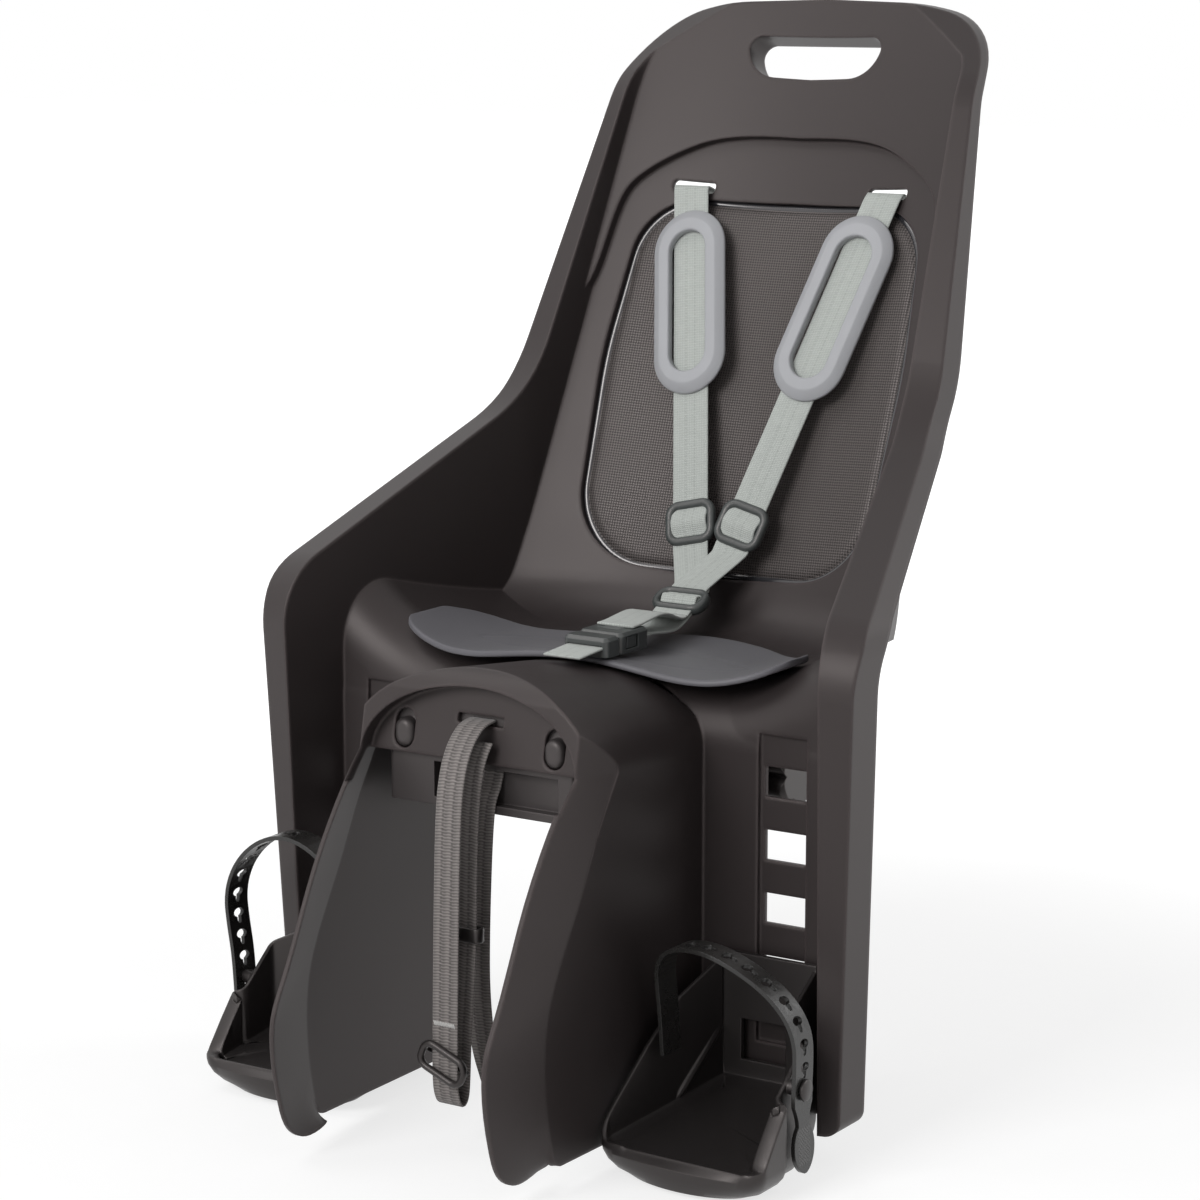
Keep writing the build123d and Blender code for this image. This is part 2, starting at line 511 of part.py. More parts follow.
def loop_strap(upper):
    """One strand of the webbing loop from the joining slide to the buckle."""
    fore = Vector(*JOIN_WAY).normalized()
    layer = Vector(*STRAP_LIFT) * (1 if upper else -1)
    start = Vector(*JOIN_AT) + fore * (JOIN_L / 2 + JOIN_REACH + STRAP_REACH) + layer
    rear = Vector(*BUCKLE_AT) + Vector(0, BUCKLE_L / 2, 0)
    if upper:
        top = BUCKLE_T / 2 + WEB_T / 2 + STRAP_SLACK
        end = [rear + Vector(0, 2, top + 1), rear + Vector(0, -6, top), rear + Vector(0, -14, top)]
        middle = (start + rear) * 0.5 + Vector(0, 0, LOOP_RISE)
        bend = 5
    else:
        end = [rear + Vector(0, 8, 0.5), rear + Vector(0, 2 - STRAP_POCKET, 0)]
        middle = (start + rear) * 0.5 + Vector(0, 2, -LOOP_SAG)
        bend = 11
    return ribbon([start, start + fore * bend, middle] + end, (1, 0, 0), WEB_W, WEB_T)


def crotch_strap():
    """Webbing from the buckle forward over the saddle, ending in the seat."""
    start = Vector(*BUCKLE_AT) + Vector(0, 2 - BUCKLE_L / 2 - PRONG_BASE + STRAP_POCKET / 2, 0)
    steps = [(0, 0, 0), (0, -9, -0.5), (-2, -18, -2), (-4, -26, -3.5)]
    return ribbon([start + Vector(*step) for step in steps], (1, 0, 0), WEB_W, WEB_T)


def safety_strap():
    """Webbing that comes out of the bulkhead, hangs down in front and returns behind itself."""
    slot = STRAP_SLOT_Z
    start = [(86.2, slot), (80, slot), (70, slot - 3), (58, slot - 15), (SAFETY_FRONT_Y + 2, slot - 35),
             (SAFETY_FRONT_Y, slot - 61)]
    low = [(SAFETY_FRONT_Y, 60), (SAFETY_FRONT_Y, SAFETY_LOW + 11), (SAFETY_LOOP_Y - 4, SAFETY_LOW + 3),
           (SAFETY_LOOP_Y, SAFETY_LOW), (SAFETY_LOOP_Y + 4, SAFETY_LOW + 3),
           (SAFETY_REAR_Y - 1, SAFETY_LOW + 11)]
    end = [(SAFETY_REAR_Y, 60), (SAFETY_REAR_Y + 2, 160), (SAFETY_REAR_Y + 4, slot - 36),
           (SAFETY_REAR_Y + 7, slot - 19), (SAFETY_REAR_Y + 13, slot - 11)]
    return ribbon([(0, y, z) for y, z in start + low + end], (1, 0, 0), SAFETY_W, SAFETY_T)


def safety_glide():
    flat = RectangleRounded(SAFETY_GLIDE_W, SAFETY_GLIDE_H, SAFETY_GLIDE_R)
    body = extrude(flat, SAFETY_GLIDE_T / 2, both=True)
    wide, deep = SAFETY_W + 2 * STRAP_SLACK, SAFETY_T + 2 * STRAP_SLACK
    body -= Box(wide, deep, 4 * SAFETY_GLIDE_T)
    body -= Box(wide, 4 * SAFETY_GLIDE_H, deep)
    return Plane(origin=(0, SAFETY_FRONT_Y, SAFETY_GLIDE_Z), x_dir=(1, 0, 0), z_dir=(0, -1, 0)) * body


def strap_keeper():
    ring = Rectangle(SAFETY_W + 2 * KEEPER_WALL, KEEPER_T)
    ring -= Rectangle(SAFETY_W + 2 * STRAP_SLACK, SAFETY_T + 2 * STRAP_SLACK)
    return Pos(0, KEEPER_Y, KEEPER_Z) * extrude(ring, KEEPER_H)


def clamp_housing():
    back = arch_front(BULKHEAD_Z) + BULKHEAD_BACK
    rise = ARCH_FRONT_LEAN * (CLAMP_HIGH - BULKHEAD_Z)
    side = [(back, CLAMP_LOW), (CLAMP_END, CLAMP_LOW), (CLAMP_END, CLAMP_HIGH), (back + rise, CLAMP_HIGH),
            (back, BULKHEAD_Z)]
    body = along_x(make_face(Polyline(*side, close=True)), -CLAMP_W / 2, CLAMP_W / 2)
    body = fillet(body.edges().filter_by(Axis.Z), CLAMP_CORNER)
    roof = arch(WALL + JAW_PLAY)
    body &= roof + mirrored(roof)
    wall = CLAMP_W / 2 - CLAMP_RIB
    jaw_room = JAW_TOP + JAW_PLAY
    body -= block(-wall, wall, JAW_Y0, JAW_Y1, -FAR, jaw_room)
    body -= block(RECESS_X0, RECESS_X1, -FAR, back + RECESS_D, RECESS_LOW, RECESS_TOP)
    body -= block(-wall, wall, back + RECESS_D + CLAMP_RIB, JAW_Y0 - CLAMP_RIB, -FAR, CLAMP_HIGH - CLAMP_RIB)
    body -= block(-wall, wall, JAW_Y0, JAW_Y1, jaw_room + CLAMP_RIB, FAR)
    body -= spindle_bore()
    lug = SlotOverall(LUG_SLOT_H - LUG_PLAY_H, LUG_SLOT_W - LUG_PLAY_W, rotation=90)
    reach = arch_front(LUG_Z) + BULKHEAD_BACK - BULKHEAD_T - LUG_STAND
    for x in (-LUG_X, LUG_X):
        pin = along_y(Pos(x, LUG_Z - LUG_DROP) * lug, reach, reach + LUG_L)
        body += fillet(pin.faces().sort_by(Axis.Y)[0].edges(), LUG_DOME)
    return body


def spindle_bore():
    return Pos(0, SPINDLE_Y, SPINDLE_Z) * Rot(0, 90, 0) * Cylinder(SPINDLE_R + SPINDLE_PLAY, 2 * FAR)


def clamp_jaw(right):
    y0, y1 = JAW_Y0 + JAW_PLAY, JAW_Y1 - JAW_PLAY
    jaw = block(JAW_IN, JAW_OUT, y0, y1, CLAMP_LOW + JAW_GAP, JAW_TOP)
    jaw += block(JAW_IN + JAW_STEP, JAW_OUT, y0, y1, CLAMP_LOW - JAW_GAP, CLAMP_LOW + 2 * JAW_GAP)
    jaw += block(JAW_IN + JAW_STEP, RAIL_X, y0, y1, JAW_LOW, CLAMP_LOW - JAW_PLAY)
    jaw -= Pos(RAIL_X, SPINDLE_Y, MOUNT_Z) * Rot(90, 0, 0) * Cylinder(RAIL_R + RAIL_PLAY, 2 * FAR)
    jaw -= spindle_bore()
    return jaw if right else mirrored(jaw)


def spindle():
    length = SPINDLE_X1 - SPINDLE_X0
    middle = (SPINDLE_X0 + SPINDLE_X1) / 2
    rod = Pos(middle, SPINDLE_Y, SPINDLE_Z) * Rot(0, 90, 0) * Cylinder(SPINDLE_R, length)
    return chamfer(rod.edges().filter_by(GeomType.CIRCLE), SPINDLE_EDGE)


def knob():
    flat = Circle(KNOB_R)
    for i in range(KNOB_LOBES):
        a = 2 * pi * i / KNOB_LOBES
        flat += Pos(KNOB_R * cos(a), KNOB_R * sin(a)) * Circle(KNOB_LOBE)
    blank = extrude(Circle(KNOB_R + KNOB_LOBE), KNOB_X1 - KNOB_X0)
    blank = chamfer(blank.faces().sort_by(Axis.Z)[-1].edges(), KNOB_EDGE)
    body = extrude(flat, KNOB_X1 - KNOB_X0) & blank
    body -= extrude(Circle(SPINDLE_R), SPINDLE_X1 - KNOB_X0)
    return Pos(KNOB_X0, SPINDLE_Y, SPINDLE_Z) * Rot(0, 90, 0) * body


def knob_ring():
    ring = extrude(Circle(RING_R) - Circle(SPINDLE_R), KNOB_X0 - RING_X0)
    return Pos(RING_X0, SPINDLE_Y, SPINDLE_Z) * Rot(0, 90, 0) * ring


def foot_side(top, x0, x1):
    """Wall's side view under a top line, counted forward of the channel."""
    line = [(CHANNEL_Y + y, z) for y, z in top]
    return along_x(make_face(Polyline((line[0][0], -FAR), *line, (line[-1][0], -FAR), close=True)), x0, x1)


def footrest(right):
    """Tray on a tongue that slides in the ladder's track, with a tall inner wall and a stud outside."""
    inside = along_z(rounded(grown(FOOT_PLAN, -FOOT_WALL)), -FAR, FAR)
    front, rear = -2 * CHANNEL_Y, CHANNEL_Y
    start = FOOT_FRONT_Z - FOOT_SLOPE * FOOT_CORNERS[0][1]
    floor = foot_side([(front, start + FOOT_SLOPE * front), (rear, start + FOOT_SLOPE * rear)], 0, FAR)
    base = along_z(rounded(FOOT_PLAN), FOOT_LOW, FAR) & floor
    base = fillet([e for e in base.edges() if abs(e.center().Z - FOOT_LOW) < 0.1], FOOT_EDGE_R)
    base -= inside & Pos(0, 0, -FOOT_WALL) * floor
    ring = along_z(rounded(FOOT_PLAN), FOOT_LOW + 2 * FOOT_EDGE_R, FAR) - inside
    rest = base + (ring & foot_side(FOOT_INNER_TOP, 0, FOOT_INNER_X))
    rest += ring & foot_side(FOOT_OUTER_TOP, FOOT_OUTER_X, FAR)
    wall_y = CHANNEL_Y + FOOT_CORNERS[-1][1] - 2 * FOOT_WALL
    rest += ring & block(0, FOOT_CORNERS[-3][0], wall_y, FAR, 0, FOOT_BACK_TOP)
    rest -= block(FOOT_WINDOW_X0, FOOT_WINDOW_X1, wall_y, FAR, FOOT_WINDOW_LOW, FOOT_WINDOW_TOP)
    tongue_y = CHANNEL_Y + FOOT_CORNERS[-1][1] - TONGUE_PLAY
    rest += block(TRACK_X0 + TONGUE_PLAY, TRACK_X1 - TONGUE_PLAY, tongue_y,
                  CHANNEL_Y + TRACK_DEPTH - TONGUE_PLAY / 2, TONGUE_LOW, TONGUE_TOP)
    rest += stud_place(FOOT_STRAP_X - 1) * Cylinder(STUD_R, 4 * FOOT_STRAP_T)
    rest += stud_place(FOOT_STRAP_X + FOOT_STRAP_T / 2 + STUD_HEAD_T * 0.8) * Cylinder(STUD_HEAD, STUD_HEAD_T)
    return rest if right else mirrored(rest)


def stud_place(x):
    return Pos(x, STUD_Y, STUD_Z) * Rot(0, 90, 0)


def foot_strap(right):
    """Rubber strap from the inner wall over the foot to the stud on the outside."""
    path = [(x, CHANNEL_Y + y, z) for x, y, z in FOOT_STRAP_PATH]
    band = ribbon(path, (0, 1, 0), FOOT_STRAP_W, FOOT_STRAP_T)
    band -= stud_place(FOOT_STRAP_X) * Cylinder(STUD_R + STRAP_SLACK, 8 * FOOT_STRAP_T)
    return band if right else mirrored(band)


half_shell = shell_half()
slide = glide(SLIDER_W, SLIDER_L, SLIDER_T, WEB_T + 2 * STRAP_SLACK)
NODES = {
    "seat_shell": half_shell + mirrored(half_shell),
    "back_pad": back_pad(),
    "seat_pad": seat_pad(),
    "shoulder_strap_left": shoulder_strap(True),
    "shoulder_strap_right": shoulder_strap(False),
    "shoulder_pad_left": shoulder_pad(True),
    "shoulder_pad_right": shoulder_pad(False),
    "strap_slide_left": strap_frame(1.0, True) * slide,
    "strap_slide_right": strap_frame(1.0, False) * slide,
    "joining_slide": join_frame() * glide(JOIN_W, JOIN_L, JOIN_T, 2 * WEB_T + 5 * STRAP_SLACK),
    "loop_strap_upper": loop_strap(True),
    "loop_strap_lower": loop_strap(False),
    "buckle_body": buckle_body(),
    "buckle_tongue": buckle_tongue(),
    "crotch_strap": crotch_strap(),
    "safety_strap": safety_strap(),
    "safety_glide": safety_glide(),
    "strap_keeper": strap_keeper(),
    "clamp_housing": clamp_housing(),
    "clamp_jaw_left": clamp_jaw(True),
    "clamp_jaw_right": clamp_jaw(False),
    "clamp_spindle": spindle(),
    "clamp_knob": knob(),
    "knob_ring": knob_ring(),
    "footrest_left": footrest(True),
    "footrest_right": footrest(False),
    "foot_strap_left": foot_strap(True),
    "foot_strap_right": foot_strap(False),
}

os.makedirs("parts", exist_ok=True)
for name, solid in NODES.items():
    export_step(Pos(0, -MOUNT_Y, -MOUNT_Z) * solid, f"parts/{name}.step")
    print(name, round(solid.volume / 1000, 2), "cm3", len(solid.solids()))
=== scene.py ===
# %% [markdown]
# # A child bike seat, dressed for the camera
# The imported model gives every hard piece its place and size. This lesson loads it as a frame,
# sets the camera where the photograph was taken, and then goes piece by piece: finishes first,
# then webbing, slides, foam, the safety strap, footrests and foot straps.

# %% Load the frame
from math import atan, cos, pi, radians, sin, tan

import bmesh
import bpy
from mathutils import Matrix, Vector


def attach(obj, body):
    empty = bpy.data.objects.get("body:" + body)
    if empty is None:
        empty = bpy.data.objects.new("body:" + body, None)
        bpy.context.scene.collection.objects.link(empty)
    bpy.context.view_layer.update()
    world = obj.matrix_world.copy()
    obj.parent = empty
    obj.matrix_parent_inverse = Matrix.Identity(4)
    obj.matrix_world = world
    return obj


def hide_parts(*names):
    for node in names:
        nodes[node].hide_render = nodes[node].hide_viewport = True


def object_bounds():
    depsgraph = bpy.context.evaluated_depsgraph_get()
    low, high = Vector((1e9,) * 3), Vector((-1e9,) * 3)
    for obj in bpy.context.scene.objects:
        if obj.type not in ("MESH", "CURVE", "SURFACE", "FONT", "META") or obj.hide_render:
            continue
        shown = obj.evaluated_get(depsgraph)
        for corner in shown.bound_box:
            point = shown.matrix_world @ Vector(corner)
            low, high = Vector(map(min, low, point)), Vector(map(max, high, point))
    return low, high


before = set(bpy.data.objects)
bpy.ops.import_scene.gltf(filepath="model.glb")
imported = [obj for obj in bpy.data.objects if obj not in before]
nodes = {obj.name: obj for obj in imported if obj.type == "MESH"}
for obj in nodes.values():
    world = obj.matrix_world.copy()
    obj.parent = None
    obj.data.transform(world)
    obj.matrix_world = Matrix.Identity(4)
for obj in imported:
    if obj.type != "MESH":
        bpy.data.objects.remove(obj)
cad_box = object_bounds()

# %% [markdown]
# The drawing of the seat counts millimetres from the tips of the leg panels, while the frame counts
# metres from the middle of the carrier rails. One helper turns the first into the second, so that
# every size below can be written as a maker would measure it.

# %% Drawing millimetres to frame metres
CARRIER_Y, CARRIER_Z = 185.0, 187.0
SIDES = (("left", 1), ("right", -1))


def at(x, y, z):
    return Vector((x, y - CARRIER_Y, z - CARRIER_Z)) / 1000


# %% [markdown]
# The photograph is a long-lens view from the seat's left front, a little above it. A camera far away
# with a 102 mm lens gives the same slight perspective.

# %% Camera
EYE = at(1141.7, -1533.4, 693.0)
TURN, TILT = radians(33.18), radians(10.573)
LENS, SENSOR, FAR = 102.0, 36.0, 50.0
lens = bpy.data.cameras.new("camera")
lens.lens = LENS
lens.sensor_width = SENSOR
lens.clip_end = FAR
camera = bpy.data.objects.new("camera", lens)
camera.location = EYE
camera.rotation_euler = (pi / 2 - TILT, 0.0, TURN)
bpy.context.scene.collection.objects.link(camera)
bpy.context.scene.camera = camera
bpy.context.scene.view_settings.view_transform = "Standard"
print("camera at", [round(v, 3) for v in EYE])

# %% [markdown]
# Shader nodes read better as sums than as boxes and lines. `Wire` wraps one socket, so that
# `1 - mask` adds a Math node, and `Finish` holds a material and adds any other node by its type.

# %% Shader helpers


class Wire:
    """One output socket; arithmetic on it adds Math nodes to its finish."""

    def __init__(self, finish, socket):
        self.finish = finish
        self.socket = socket

    def math(self, operation, first, second=None):
        values = {0: first} if second is None else {0: first, 1: second}
        return self.finish.node("ShaderNodeMath", {"operation": operation}, values)

    def __add__(self, other):
        return self.math("ADD", self, other)

    def __sub__(self, other):
        return self.math("SUBTRACT", self, other)

    def __rsub__(self, other):
        return self.math("SUBTRACT", other, self)

    def __mul__(self, other):
        return self.math("MULTIPLY", self, other)

    def __gt__(self, other):
        return self.math("GREATER_THAN", self, other)

    def sine(self):
        return self.math("SINE", self)

    def size(self):
        return self.math("ABSOLUTE", self)

    __radd__ = __add__
    __rmul__ = __mul__


class Finish:
    """A material with one shader; node() adds any node and returns a wire from it."""

    def __init__(self, name, **constants):
        self.material = bpy.data.materials.new(name)
        self.material.use_nodes = True
        self.tree = self.material.node_tree
        self.shader = self.tree.nodes["Principled BSDF"]
        for key, value in constants.items():
            self.shader.inputs[key.replace("_", " ").title().replace("Ior", "IOR")].default_value = value

    def node(self, kind, settings=None, values=None, out=0):
        made = self.tree.nodes.new(kind)
        for key, value in (settings or {}).items():
            setattr(made, key, value)
        for key, value in (values or {}).items():
            self.feed(made.inputs[key], value)
        return Wire(self, made.outputs[out])

    def feed(self, socket, value):
        if isinstance(value, Wire):
            self.tree.links.new(value.socket, socket)
        else:
            socket.default_value = value

    def set(self, name, value):
        self.feed(self.shader.inputs[name], value)

    def place(self, kind="Object"):
        return self.node("ShaderNodeTexCoord", out={"Object": 3, "UV": 2}[kind])

    def noise(self, where, scale, detail=2.0, rough=0.5):
        return self.node("ShaderNodeTexNoise", None,
                         {"Vector": where, "Scale": scale, "Detail": detail, "Roughness": rough})

    def blend(self, factor, first, second):
        mix = self.tree.nodes.new("ShaderNodeMix")
        mix.data_type = "RGBA"
        for key, value in ((0, factor), (6, first), (7, second)):
            self.feed(mix.inputs[key], value)
        return Wire(self, mix.outputs[2])

    def range(self, value, low, high, first=0.0, last=1.0):
        """The value as it goes from first to last, turned into low to high."""
        return self.node("ShaderNodeMapRange", None, {0: value, 1: first, 2: last, 3: low, 4: high})

    def split(self, where):
        parts = self.tree.nodes.new("ShaderNodeSeparateXYZ")
        self.feed(parts.inputs[0], where)
        return [Wire(self, socket) for socket in parts.outputs]

    def bump(self, height, depth, strength=1.0, normal=None):
        values = {"Height": height, "Distance": depth, "Strength": strength}
        if normal:
            values["Normal"] = normal
        return self.node("ShaderNodeBump", None, values)

    def soft_edges(self, radius):
        return self.node("ShaderNodeBevel", {"samples": 4}, {"Radius": radius})


def grey(value, warm=0.0):
    """A near grey; warm shifts it towards brown."""
    return (value * (1 + warm), value, value * (1 - warm), 1.0)


# %% [markdown]
# The shell is one large injection moulding in dark, warm black plastic. Its mould is lightly
# sand-blasted, so the surface has a fine grain and a broad, soft sheen. Two noises give the grain and
# a slow change of gloss. A small bevel read by the shader softens the moulded edges, and where it turns
# away from the true surface the colour is lighter: a painted highlight along the edges, where light catches them.

# %% Moulded plastics
WARM = (1.0, 0.92, 0.90, 1.0)
GRAIN, GRAIN_SCALE = 0.00006, 1600.0


def times(colour, share):
    """A colour made lighter or darker."""
    return tuple(share * c for c in colour[:3]) + (1.0,)


def moulded(name, colour, roughness, gloss, edge_highlight, edge=0.0012):
    """Grained plastic with a painted highlight on its edges: the share after gloss is how much lighter they are
    painted, edge how wide they are.
    """
    finish = Finish(name, specular_ior_level=gloss, specular_tint=WARM)
    where = finish.place()
    cloud = finish.noise(where, 9.0, 3.0)
    fine = finish.noise(where, GRAIN_SCALE, 1.0)
    rounded = finish.soft_edges(edge)
    true = finish.node("ShaderNodeNewGeometry", out=1)
    turn = finish.node("ShaderNodeVectorMath", {"operation": "DOT_PRODUCT"}, {0: rounded, 1: true}, 1)
    on_edge = finish.range(turn, 0.0, 1.0, 0.99, 0.75)
    body = finish.blend(cloud, times(colour, 0.86), times(colour, 1.06))
    # Lighter on the edges: a painted highlight where light catches them.
    finish.set("Base Color", finish.blend(on_edge, body, times(colour, edge_highlight)))
    finish.set("Roughness", finish.range(cloud * 0.6 + fine * 0.4, roughness - 0.07, roughness + 0.07))
    finish.set("Normal", finish.bump(fine, GRAIN, 0.5, rounded))
    return finish.material


shell_plastic = moulded("shell_plastic", (0.030, 0.0243, 0.0243, 1.0), 0.42, 0.37, 3.2, edge=0.0032)
black_plastic = moulded("black_plastic", (0.0205, 0.0182, 0.0180, 1.0), 0.35, 0.5, 3.0)
clamp_plastic = moulded("clamp_plastic", (0.042, 0.037, 0.037, 1.0), 0.42, 0.5, 2.6)
slate_plastic = moulded("slate_plastic", (0.066, 0.074, 0.073, 1.0), 0.32, 0.5, 2.2)
red_plastic = moulded("red_plastic", (0.42, 0.018, 0.012, 1.0), 0.3, 0.5, 1.3, edge=0.0005)


def turned_steel():
    finish = Finish("spindle_steel", metallic=1.0)
    along, _, _ = finish.split(finish.place())
    rings = finish.range((along * 5200.0).sine() * 0.5 + 0.5, 0.0, 1.0)
    cloud = finish.noise(finish.place(), 120.0, 2.0)
    finish.set("Base Color", finish.blend(cloud, grey(0.46), grey(0.60)))
    finish.set("Roughness", finish.range(rings * 0.5 + cloud * 0.5, 0.24, 0.40))
    finish.set("Normal", finish.bump(rings, 0.00004, 0.5))
    return finish.material


spindle_steel = turned_steel()


def dress(material, *names):
    for name in names:
        slots = nodes[name].data.materials
        slots.clear()
        slots.append(material)


dress(shell_plastic, "seat_shell")
dress(clamp_plastic, "clamp_housing", "clamp_jaw_left", "clamp_jaw_right")
dress(black_plastic, "clamp_knob", "footrest_left", "footrest_right", "foot_strap_left", "foot_strap_right",
      "safety_glide", "strap_keeper")
dress(red_plastic, "knob_ring")
dress(spindle_steel, "clamp_spindle")
dress(slate_plastic, "strap_slide_left", "strap_slide_right", "joining_slide", "buckle_body", "buckle_tongue")
print("plastics and steel made, frame dressed")

# %% [markdown]
# Everything that repeats, or that follows a line, comes from Geometry Nodes. `Rule` builds one tree with
# named inputs, runs it on a mesh, and keeps the result as a plain mesh, so that no modifier stays behind.

# %% Geometry rules


class Rule:
    """A node tree with named inputs; run() gives the plain mesh object that it makes."""

    def __init__(self, name, **inputs):
        self.tree = bpy.data.node_groups.new(name, "GeometryNodeTree")
        face = self.tree.interface
        face.new_socket("Geometry", in_out="OUTPUT", socket_type="NodeSocketGeometry")
        face.new_socket("Geometry", in_out="INPUT", socket_type="NodeSocketGeometry")
        self.keys = {}
        for key, kind in inputs.items():
            self.keys[key] = face.new_socket(key, in_out="INPUT", socket_type="NodeSocket" + kind).identifier
        self.given = self.tree.nodes.new("NodeGroupInput").outputs

    def node(self, kind, settings=None, values=None):
        made = self.tree.nodes.new(kind)
        for key, value in (settings or {}).items():
            setattr(made, key, value)
        for key, value in (values or {}).items():
            if isinstance(value, bpy.types.NodeSocket):
                self.tree.links.new(value, made.inputs[key])
            else:
                made.inputs[key].default_value = value
        return made.outputs

    def vector(self, operation, first, second=None, scale=None):
        values = {0: first}
        if second is not None:
            values[1] = second
        if scale is not None:
            values["Scale"] = scale
        return self.node("ShaderNodeVectorMath", {"operation": operation}, values)[0]

    def close(self, geometry):
        real = self.node("GeometryNodeRealizeInstances", None, {0: geometry})
        dressed = self.node("GeometryNodeSetMaterial", None, {0: real[0], "Material": self.given["Finish"]})
        end = self.tree.nodes.new("NodeGroupOutput")
        self.tree.links.new(dressed[0], end.inputs[0])

    def run(self, name, mesh, wall=0.0, **values):
        maker = bpy.data.objects.new(name + "_maker", mesh)
        bpy.context.scene.collection.objects.link(maker)
        if wall:
            thick = maker.modifiers.new("wall", "SOLIDIFY")
            thick.thickness = wall
            thick.offset = 0.0
        rule = maker.modifiers.new("rule", "NODES")
        rule.node_group = self.tree
        for key, value in values.items():
            rule[self.keys[key]] = value
        graph = bpy.context.evaluated_depsgraph_get()
        made = bpy.data.meshes.new_from_object(maker.evaluated_get(graph), preserve_all_data_layers=True,
                                               depsgraph=graph)
        bpy.data.objects.remove(maker)
        return piece(name, made)


def piece(name, mesh, *materials):
    obj = bpy.data.objects.new(name, mesh)
    bpy.context.scene.collection.objects.link(obj)
    for material in materials:
        mesh.materials.append(material)
    mesh.shade_smooth()
    return obj


def settle(obj, body, node=None):
    """Give a piece its body, and hide the node of the frame that it stands for."""
    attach(obj, body)
    if node:
        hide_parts(node)


def mesh_of(name, points, faces):
    mesh = bpy.data.meshes.new(name)
    mesh.from_pydata([tuple(p) for p in points], [], faces)
    mesh.update()
    return mesh


def grid_faces(rows, columns, wrap_rows=False, wrap_columns=True):
    """Quads between rows of points; a wrapped direction runs back to its start."""
    return [(i * columns + j, i * columns + (j + 1) % columns,
             (i + 1) % rows * columns + (j + 1) % columns, (i + 1) % rows * columns + j)
            for i in range(rows - (not wrap_rows)) for j in range(columns - (not wrap_columns))]


def end_caps(rows, columns):
    """The faces that close the first and the last row."""
    return [tuple(range(columns))[::-1], tuple(range((rows - 1) * columns, rows * columns))]


# %% [markdown]
# A strap is cut flat and then laid along its line. The rule bends any flat mesh: what lies at x on the flat
# goes to that length along the line, y goes across, and z stands off the strap's face.

# %% Bend along a line
bend = Rule("bend_along_line", Line="Object", Across="Vector", Finish="Material")
line_shape = bend.node("GeometryNodeObjectInfo", None, {"Object": bend.given["Line"]})
flat_place = bend.node("ShaderNodeSeparateXYZ", None, {0: bend.node("GeometryNodeInputPosition")[0]})
on_line = bend.node("GeometryNodeSampleCurve", {"mode": "LENGTH"},
                    {"Curves": line_shape["Geometry"], "Length": flat_place["X"]})
stand = bend.vector("NORMALIZE", bend.vector("CROSS_PRODUCT", on_line["Tangent"], bend.given["Across"]))
spot = bend.vector("ADD", on_line["Position"], bend.vector("SCALE", bend.given["Across"], scale=flat_place["Y"]))
spot = bend.vector("ADD", spot, bend.vector("SCALE", stand, scale=flat_place["Z"]))
bend.close(bend.node("GeometryNodeSetPosition", None, {0: bend.given["Geometry"], "Position": spot})[0])


def line_through(points):
    """A smooth line with the points as its controls; it is taken away again after use."""
    curve = bpy.data.curves.new("line", "CURVE")
    curve.dimensions = "3D"
    curve.resolution_u = 10
    spline = curve.splines.new("NURBS")
    spline.points.add(len(points) - 1)
    for point, place in zip(spline.points, points):
        point.co = (*place, 1.0)
    spline.order_u = 3
    spline.use_endpoint_u = True
    obj = bpy.data.objects.new("line", curve)
    bpy.context.scene.collection.objects.link(obj)
    return obj, spline.calc_length()


def laid(name, flat, line, across, material, wall=0.0):
    obj = bend.run(name, flat, wall, Line=line, Across=across, Finish=material)
    bpy.data.objects.remove(line)
    return obj


# %% [markdown]
# Webbing is woven flat with a rounded selvedge. Its section is a thin rounded bar, swept in short steps, and its
# own UV map counts metres along and across, so that the weave follows every bend.

# %% Flat webbing
STEP = 0.002


def webbing(length, width, thick, x0=0.0):
    half, edge = width / 2, thick / 2
    section = [(-half + edge, -edge), (-half * 0.5, -edge), (0.0, -edge), (half * 0.5, -edge), (half - edge, -edge)]
    section += [(half - edge + edge * sin(a), -edge * cos(a)) for a in (pi / 4, pi / 2, 3 * pi / 4)]
    section += [(-y, -z) for y, z in section]
    count = max(2, int(length / STEP))
    points = [(x0 + length * i / count, y, z) for i in range(count + 1) for y, z in section]
    size = count + 1, len(section)
    mesh = mesh_of("webbing", points, grid_faces(*size) + end_caps(*size))
    cloth = mesh.uv_layers.new(name="UVMap").data
    for loop in mesh.loops:
        x, y, z = mesh.vertices[loop.vertex_index].co
        cloth[loop.index].uv = (x, y)
    return mesh


def lay_strap(name, points, width, thick, material, slot, node=None):
    """Webbing on the seat along a line through the points, in place of a node where one is named."""
    line, length = line_through(points)
    settle(laid(name, webbing(length, width, thick), line, ACROSS, material), "seat", node)
    print(name, round(length * 1000), "mm")


# %% [markdown]
# The harness webbing is light grey-green polyester, the safety strap a darker grey. Both are woven in fine
# rows across, in slightly wavy lengthwise cords. The rows and cords are sines of the strap's own UV, and they drive
# a small bump and the colour together: the low parts are darker, painted shade in the hollows of the weave, mixed
# with a random change of tone.

# %% Webbing finishes
STITCH = 0.0028


